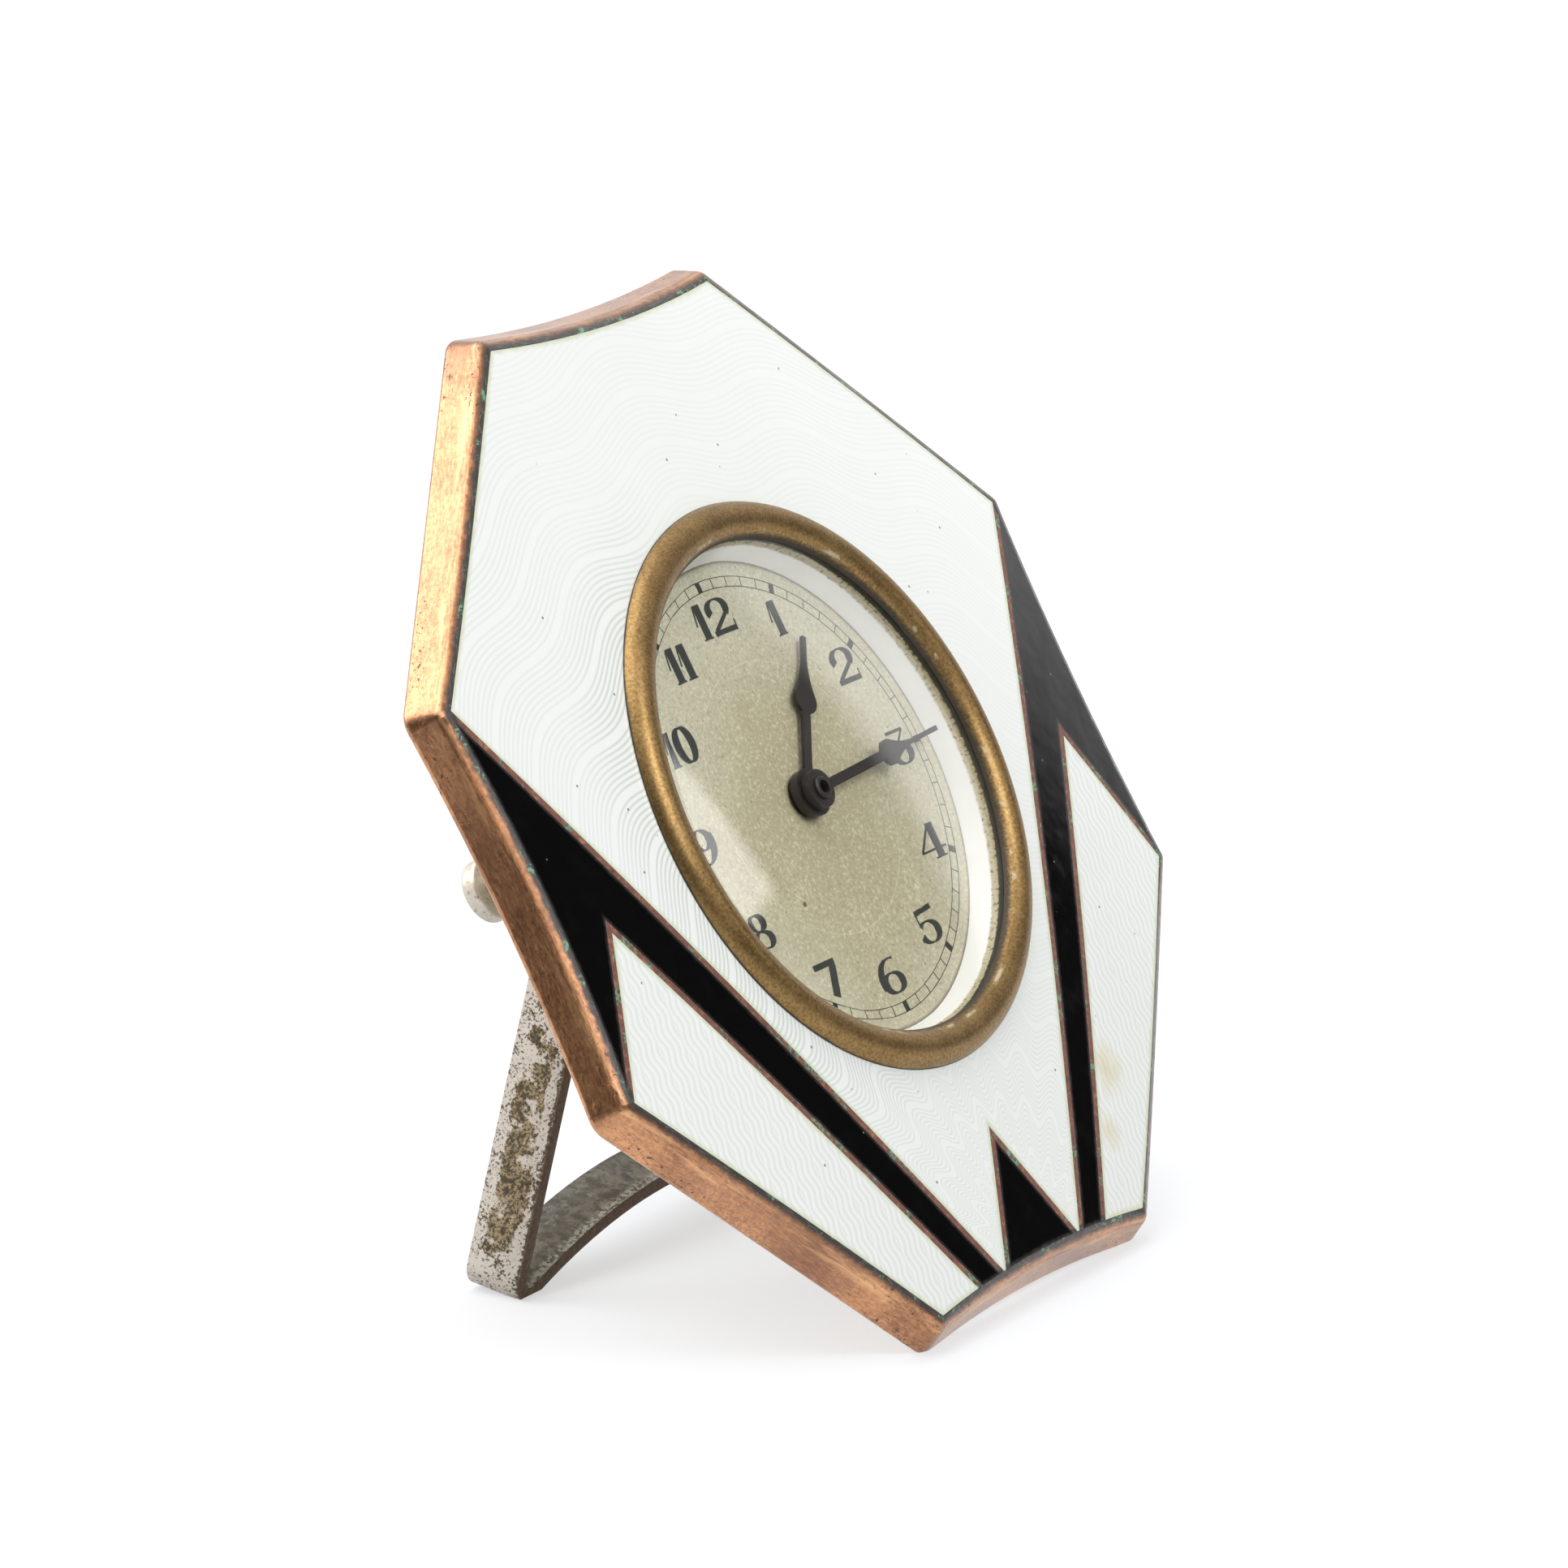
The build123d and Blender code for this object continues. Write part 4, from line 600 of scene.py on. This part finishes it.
finishes = {
    "copper": copperFinish(),
    "ringWhite": whiteEnamel("white_enamel_rings", ringTurning, enamelLook["ringStains"]),
    "weaveWhite": whiteEnamel("white_enamel_weave", weaveTurning, enamelLook["weaveStains"]),
    "black": blackEnamel(),
    "bezel": bezelFinish(),
    "dial": dialFinish(),
    "ink": inkFinish("dial_ink", paint(40, 43, 42), paint(128, 126, 108), 0.45),
    "hand": inkFinish("hand_black", paint(30, 25, 25), paint(112, 100, 92), 0.4),
    "glass": glassFinish(),
    "silver": reflectorFinish(),
    "nickel": metalFinish("nickel_plate", paint(226, 218, 204), paint(188, 178, 160), 0.34, 0.55,
                          metallic=0.65),
    "brass": metalFinish("satin_brass", paint(214, 176, 104), paint(158, 118, 62), 0.34, 0.3,
                         tip=-face["dialDrop"]),
    "steel": metalFinish("bright_steel", paint(190, 190, 192), paint(140, 140, 142), 0.28, 0.1),
    "blued": metalFinish("blued_steel", paint(96, 108, 150), paint(58, 64, 96), 0.3),
    "strut": strutFinish(),
}
nodeFinish = {
    "copper": ["case_pan"],
    "ringWhite": ["enamel_white_main"],
    "weaveWhite": ["enamel_white_left", "enamel_white_right"],
    "black": ["enamel_black_left", "enamel_black_right", "enamel_black_spike"],
    "bezel": ["bezel"],
    "dial": ["dial"],
    "hand": ["hour_hand", "minute_hand", "cannon_pinion"],
    "glass": ["crystal"],
    "silver": ["reflector"],
    "nickel": ["case_screws", "flange_screws", "pivot_screws", "drum", "rear_cover", "set_knob",
               "winding_key"],
    "brass": ["back_plate", "balance", "barrel", "centre_wheel", "escape_wheel", "fourth_wheel",
              "hour_wheel", "minute_wheel", "movement_front_plate", "movement_rear_plate", "pillars",
              "third_wheel"],
    "steel": ["barrel_arbor", "click", "pallet_lever", "pillar_screws", "ratchet_wheel", "set_arbor"],
    "blued": ["hairspring", "mainspring"],
    "strut": ["strut"],
}
for finish, names in nodeFinish.items():
    for name in names:
        wear(nodes[name], finishes[finish])
print("finishes on", sum(len(names) for names in nodeFinish.values()), "nodes")


def finishPiece(name, mesh, material, body, stands=()):
    mesh.materials.clear()
    mesh.materials.append(material)
    piece = bpy.data.objects.new(name, mesh)
    scene.collection.objects.link(piece)
    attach(piece, body)
    if stands:
        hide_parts(*stands)


# Numerals: a broad pen draws them, thick on upright strokes and thin on level ones
numeralLook = {"height": 3.15, "ring": 16.6, "turn": 2.29, "fat": 0.32, "hair": 0.05, "gap": 0.06,
               "steps": 28, "ink": 0.02, "inset": {9: 0.4, 10: 1.5, 11: 0.8}}
figures = {
    "0": (0.98, [("arc", (0.49, 0.5), 0.33, 0.475, 0, 360)]),
    "1": (0.50, [("line", (0.31, 0.0), (0.31, 1.0), 0.31), ("line", (0.15, 0.98), (0.02, 0.42), 0.06),
                 ("line", (0.08, 0.025), (0.52, 0.025), 0.05)]),
    "2": (1.20, [("arc", (0.62, 0.70), 0.40, 0.275, 205, -38),
                 ("line", (0.93, 0.53), (0.20, 0.13), 0.13), ("line", (0.10, 0.075), (1.16, 0.075), 0.15),
                 ("line", (1.16, 0.0), (1.16, 0.30), 0.05)]),
    "3": (1.10, [("line", (0.14, 0.955), (0.98, 0.955), 0.09), ("line", (0.96, 0.95), (0.50, 0.58), 0.07),
                 ("arc", (0.55, 0.31), 0.38, 0.285, 95, -165)]),
    "4": (1.28, [("line", (0.86, 0.0), (0.86, 1.0), 0.34), ("line", (0.80, 0.98), (0.05, 0.29), 0.08),
                 ("line", (0.02, 0.27), (1.26, 0.27), 0.06), ("line", (0.58, 0.025), (1.14, 0.025), 0.05)]),
    "5": (1.20, [("line", (0.22, 0.90), (1.06, 0.97), 0.15), ("line", (0.24, 0.95), (0.24, 0.50), 0.06),
                 ("arc", (0.56, 0.32), 0.42, 0.295, 140, -165)]),
    "6": (1.24, [("arc", (0.64, 0.30), 0.40, 0.275, 0, 360), ("arc", (0.80, 0.40), 0.64, 0.57, 200, 72)]),
    "7": (1.08, [("line", (0.04, 0.91), (1.06, 0.91), 0.17), ("line", (0.92, 0.86), (0.52, 0.0), 0.30)]),
    "8": (1.16, [("arc", (0.58, 0.745), 0.31, 0.225, 0, 360), ("arc", (0.58, 0.265), 0.41, 0.24, 0, 360)]),
    "9": (1.24, [("arc", (0.60, 0.70), 0.40, 0.275, 0, 360), ("arc", (0.44, 0.60), 0.64, 0.57, 20, -108)]),
}


def strokePath(stroke):
    if stroke[0] == "line":
        return [stroke[1], stroke[2]]
    centre, across, up, start, end = stroke[1:]
    count = max(6, int(numeralLook["steps"] * abs(end - start) / 360))
    turns = [math.radians(start + (end - start) * k / count) for k in range(count + 1)]
    return [(centre[0] + across * math.cos(t), centre[1] + up * math.sin(t)) for t in turns]


def penWidth(stroke, run):
    if stroke[0] == "line":
        return stroke[3]
    upright = abs(run.y) ** 1.5
    return numeralLook["hair"] + (numeralLook["fat"] - numeralLook["hair"]) * upright


def drawStroke(sheet, stroke, origin, size, lift):
    path = [Vector(p) for p in strokePath(stroke)]
    pairs = []
    for k, point in enumerate(path):
        run = (path[min(k + 1, len(path) - 1)] - path[max(k - 1, 0)]).normalized()
        if stroke[0] == "arc" and abs(stroke[5] - stroke[4]) == 360 and k in (0, len(path) - 1):
            run = Vector((0, 1))
        half = penWidth(stroke, run) / 2
        out = Vector((run.y, -run.x)) * half
        pairs.append([sheet.verts.new((*(origin + (point + side) * size), lift)) for side in (out, -out)])
    for (a, b), (c, d) in zip(pairs, pairs[1:]):
        sheet.faces.new((a, c, d, b))


def buildNumerals():
    look = numeralLook
    sheet = bmesh.new()
    for hour in range(1, 13):
        text = str(hour)
        wide = sum(figures[c][0] for c in text) + look["gap"] * (len(text) - 1)
        turn = math.radians(90 - 30 * hour + look["turn"])
        at = Vector((math.cos(turn), math.sin(turn))) * look["ring"]
        at.x += look["inset"].get(hour, 0.0)
        left = at - Vector((wide, 1.0)) * look["height"] / 2
        for c in text:
            for order, stroke in enumerate(figures[c][1]):
                drawStroke(sheet, stroke, left, look["height"], look["ink"] + 0.001 * order)
            left.x += (figures[c][0] + look["gap"]) * look["height"]
    return layInk(sheet, "numerals")


def layInk(sheet, name):
    bmesh.ops.remove_doubles(sheet, verts=sheet.verts, dist=1e-5)
    for f in sheet.faces:
        f.normal_update()
        if f.normal.z < 0:
            f.normal_flip()
    down = bmesh.ops.extrude_face_region(sheet, geom=sheet.faces[:])
    for v in (g for g in down["geom"] if isinstance(g, bmesh.types.BMVert)):
        v.co.z -= 2 * numeralLook["ink"]
    bmesh.ops.recalc_face_normals(sheet, faces=sheet.faces)
    mesh = bpy.data.meshes.new(name)
    sheet.to_mesh(mesh)
    sheet.free()
    mesh.transform(faceToWorld @ Matrix.Translation((0, 0, -face["dialDrop"])))
    return mesh


finishPiece("dial_numerals", buildNumerals(), finishes["ink"], "case")
print("numerals drawn")

# Minute track: two thin rings with a tick each minute and a broad one each hour
trackLook = {"Inner": 18.9, "Outer": 19.8, "Ring": 0.07, "Tick": 0.08, "Hour Tick": 0.62, "turn": 2.29}


def buildTrack():
    tree = bpy.data.node_groups.new("minuteTrack", "GeometryNodeTree")
    sizes = [name for name in trackLook if name[0].isupper()]
    for name in sizes:
        tree.interface.new_socket(name=name, in_out="INPUT", socket_type="NodeSocketFloat")
    tree.interface.new_socket(name="Ink", in_out="INPUT", socket_type="NodeSocketMaterial")
    tree.interface.new_socket(name="Geometry", in_out="OUTPUT", socket_type="NodeSocketGeometry")
    g = Graph(tree)
    given = g.put("NodeGroupInput").outputs
    middle = g.times(g.total(given["Inner"], given["Outer"]), 0.5)
    length = g.calc("SUBTRACT", given["Outer"], given["Inner"])
    spot = g.put("GeometryNodeInputPosition").outputs[0]
    x, y, z = g.split(spot)
    turn = g.put("FunctionNodeEulerToRotation",
                 {0: g.vector(0.0, 0.0, g.calc("ARCTAN2", y, x))}).outputs[0]
    joined = g.put("GeometryNodeJoinGeometry")
    for radius in ("Inner", "Outer"):
        ring = g.put("GeometryNodeMeshCircle", {"Vertices": 240, "Radius": given[radius]}).outputs[0]
        outward = g.put("ShaderNodeVectorMath", {0: spot}, operation="NORMALIZE").outputs[0]
        band = g.put("GeometryNodeExtrudeMesh", {"Mesh": ring, "Offset": outward,
                                                 "Offset Scale": given["Ring"]}, mode="EDGES").outputs[0]
        tree.links.new(band, joined.inputs[0])
    for count, width in ((60, "Tick"), (12, "Hour Tick")):
        ring = g.put("GeometryNodeMeshCircle", {"Vertices": count, "Radius": middle}).outputs[0]
        bar = g.put("GeometryNodeMeshGrid", {"Size X": length, "Size Y": given[width], "Vertices X": 2,
                                             "Vertices Y": 2}).outputs[0]
        ticks = g.put("GeometryNodeInstanceOnPoints", {"Points": ring, "Instance": bar,
                                                       "Rotation": turn}).outputs[0]
        tree.links.new(ticks, joined.inputs[0])
    real = g.put("GeometryNodeRealizeInstances", {0: joined.outputs[0]}).outputs[0]
    inked = g.put("GeometryNodeSetMaterial", {"Geometry": real, "Material": given["Ink"]}).outputs[0]
    g.put("NodeGroupOutput", {0: inked})
    holder = bpy.data.objects.new("track_holder", bpy.data.meshes.new("track_holder"))
    scene.collection.objects.link(holder)
    modifier = holder.modifiers.new("track", "NODES")
    modifier.node_group = tree
    values = {**{name: trackLook[name] for name in sizes}, "Ink": finishes["ink"]}
    for item in tree.interface.items_tree:
        if item.in_out == "INPUT":
            modifier[item.identifier] = values[item.name]
    done = holder.evaluated_get(bpy.context.evaluated_depsgraph_get())
    mesh = bpy.data.meshes.new_from_object(done)
    bpy.data.objects.remove(holder)
    sheet = bmesh.new()
    sheet.from_mesh(mesh)
    bpy.data.meshes.remove(mesh)
    bmesh.ops.rotate(sheet, verts=sheet.verts, cent=(0, 0, 0),
                     matrix=Matrix.Rotation(math.radians(trackLook["turn"]), 3, "Z"))
    for v in sheet.verts:
        v.co.z += numeralLook["ink"]
    return layInk(sheet, "minute_track")


finishPiece("dial_minute_track", buildTrack(), finishes["ink"], "case")
print("minute track laid")


# Glass: one dome of even thickness with a narrow brim under the bezel's lip
def buildGlass():
    look = glassLook
    ball = (look["edge"] ** 2 + look["rise"] ** 2) / (2 * look["rise"])
    reach = [look["edge"] * k / look["rings"] for k in range(look["rings"] + 1)]
    outer = [(r, look["seat"] + look["rise"] - ball + math.sqrt(ball ** 2 - r ** 2)) for r in reach]
    low = look["seat"] - look["thick"]
    inner = [(r, z - look["thick"]) for r, z in reversed(outer)]
    outline = outer + [(look["brim"], look["seat"]), (look["brim"], low)] + inner
    sheet = bmesh.new()
    verts = [sheet.verts.new((r, 0, z)) for r, z in outline]
    edges = [sheet.edges.new(pair) for pair in zip(verts, verts[1:])]
    bmesh.ops.spin(sheet, geom=verts + edges, cent=(0, 0, 0), axis=(0, 0, 1), angle=2 * math.pi,
                   steps=look["turns"])
    bmesh.ops.remove_doubles(sheet, verts=sheet.verts, dist=1e-4)
    bmesh.ops.recalc_face_normals(sheet, faces=sheet.faces)
    for f in sheet.faces:
        f.smooth = True
    mesh = bpy.data.meshes.new("glass")
    sheet.to_mesh(mesh)
    sheet.free()
    mesh.set_sharp_from_angle(angle=math.radians(25))
    mesh.transform(faceToWorld)
    return mesh


finishPiece("glass_dome", buildGlass(), finishes["glass"], "case", ["crystal"])
print("glass turned")


# Strut with softened edges; each face knows whether it is outside, edge or inside
def buildStrut():
    sheet = bmesh.new()
    sheet.from_mesh(nodes["strut"].data)
    bmesh.ops.remove_doubles(sheet, verts=sheet.verts, dist=1e-6)
    bmesh.ops.dissolve_limit(sheet, angle_limit=math.radians(0.5), verts=sheet.verts, edges=sheet.edges)
    sharp = [e for e in sheet.edges if e.is_manifold and e.calc_face_angle() > math.radians(40)]
    bmesh.ops.bevel(sheet, geom=sharp, offset=strutLook["bevel"], segments=2, profile=0.5, affect="EDGES",
                    clamp_overlap=True)
    mesh = bpy.data.meshes.new("strut")
    bmesh.ops.triangulate(sheet, faces=sheet.faces)
    low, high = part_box("strut")
    middle = (low + high) / 2
    side = sheet.faces.layers.float.new("side")
    for f in sheet.faces:
        if abs(f.normal.dot(widthways)) > 0.6:
            f[side] = 0.5
        else:
            f[side] = 1.0 if f.normal.dot(middle - f.calc_center_median()) > 0 else 0.0
        f.smooth = True
    sheet.to_mesh(mesh)
    sheet.free()
    return mesh


finishPiece("strut_strip", buildStrut(), finishes["strut"], "strut", ["strut"])
print("strut shaped")

# Stage: pale floor, soft boxes overhead, behind and in front, a window to the right in front, white behind
stage = {"floor": 3.0, "floorTone": paint(152, 155, 160), "floorRough": 0.7, "floorGlow": 0.56,
         "ambient": 0.5, "backlight": 0.3, "dark": 0.02, "roomHeading": (-0.86, -0.5),
         "backdropTurn": -25.0, "ceiling": 0.8, "room": 0.05}
window = {"right": -46.2, "left": -66.0, "low": 18.6, "high": 44.0, "soft": 1.6,
          "fade": 4.0, "topFade": 14.0, "level": 2.8}
lamps = {
    "overhead": {"place": (-0.20, 0.30, 0.95), "size": (1.0, 1.0), "power": 8.4},
    "rear": {"place": (-0.55, 1.10, 0.90), "size": (0.9, 0.6), "power": 8.0},
    "front": {"place": (-0.15, -1.00, 1.05), "size": (0.8, 0.6), "power": 10.3},
}


def aimAt(thing, target):
    away = Vector(target) - thing.location
    thing.rotation_euler = away.to_track_quat("-Z", "Y").to_euler()


for name, lamp in lamps.items():
    light = bpy.data.lights.new(name, "AREA")
    light.shape = "RECTANGLE"
    light.size, light.size_y = lamp["size"]
    light.energy = lamp["power"]
    box = bpy.data.objects.new(name, light)
    box.location = lamp["place"]
    aimAt(box, faceOrigin)
    scene.collection.objects.link(box)

floorMesh = bpy.data.meshes.new("floor")
reach = stage["floor"]
corners = [(-reach, -reach, 0), (reach, -reach, 0), (reach, reach, 0), (-reach, reach, 0)]
floorMesh.from_pydata(corners, [], [(0, 1, 2, 3)])
floor = bpy.data.objects.new("floor", floorMesh)
scene.collection.objects.link(floor)


def floorFinish():
    material, g, shader = newFinish("floor_white")
    shader.inputs["Base Color"].default_value = stage["floorTone"]
    shader.inputs["Roughness"].default_value = stage["floorRough"]
    path = g.put("ShaderNodeLightPath").outputs
    seen = g.larger(path["Is Camera Ray"], path["Is Glossy Ray"], path["Is Transmission Ray"])
    g.feed((1, 1, 1, 1), shader.inputs["Emission Color"])
    g.feed(g.times(seen, stage["floorGlow"]), shader.inputs["Emission Strength"])
    return material


wear(floor, floorFinish())


def buildWorld():
    world = bpy.data.worlds.new("studio")
    world.use_nodes = True
    g = Graph(world.node_tree)
    path = g.put("ShaderNodeLightPath").outputs
    heading = g.put("ShaderNodeTexCoord").outputs["Generated"]
    x, y, z = g.split(heading)
    turn = math.radians(stage["backdropTurn"])
    back = g.total(g.times(x, -math.sin(turn)), g.times(y, math.cos(turn)))
    behind = g.rise(back, -0.03, 0.07)
    lit = g.total(stage["ambient"], g.times(g.rise(back, -0.5, 0.8), stage["backlight"]))
    above = g.times(g.rise(z, 0.6, 0.9), stage["ceiling"])
    toRoom = g.total(*(g.times(v, k) for v, k in zip((x, y), stage["roomHeading"])))
    room = g.times(g.rise(toRoom, 0.2, 0.8), stage["room"])
    bearing = g.calc("DEGREES", g.calc("ARCTAN2", y, x))
    slope = g.calc("DEGREES", g.calc("ARCSINE", z))
    pane = g.times(g.rise(bearing, window["right"], window["right"] - window["soft"]),
                   g.rise(bearing, window["left"], window["left"] + window["fade"]),
                   g.rise(slope, window["low"], window["low"] + window["soft"]),
                   g.rise(slope, window["high"], window["high"] - window["topFade"]), window["level"])
    mirrored = g.larger(behind, above, room, stage["dark"], pane)
    shiny = g.larger(path["Is Glossy Ray"], path["Is Transmission Ray"])
    level = g.total(lit, g.times(shiny, g.calc("SUBTRACT", mirrored, lit)))
    level = g.larger(level, path["Is Camera Ray"])
    sky = g.put("ShaderNodeBackground", {"Color": (1, 1, 1, 1), "Strength": level})
    g.put("ShaderNodeOutputWorld", {"Surface": sky.outputs[0]})
    return world


scene.world = buildWorld()

# Camera, at the photograph's angle; place and aim are millimetres on the clock's face
view = {"place": (-589.65, -16.72, 394.08), "aim": (0.0, 1.66, -3.37), "roll": 0.26, "lens": 195.63,
        "sensor": 36.0, "near": 0.05, "far": 20.0}
lens = bpy.data.cameras.new("photo")
lens.lens, lens.sensor_width = view["lens"], view["sensor"]
lens.clip_start, lens.clip_end = view["near"], view["far"]
camera = bpy.data.objects.new("photo", lens)
camera.location = faceToWorld @ Vector(view["place"])
aimAt(camera, faceToWorld @ Vector(view["aim"]))
camera.rotation_euler = (camera.rotation_euler.to_matrix()
                         @ Matrix.Rotation(math.radians(view["roll"]), 3, "Z")).to_euler()
scene.collection.objects.link(camera)
scene.camera = camera
print("stage set")
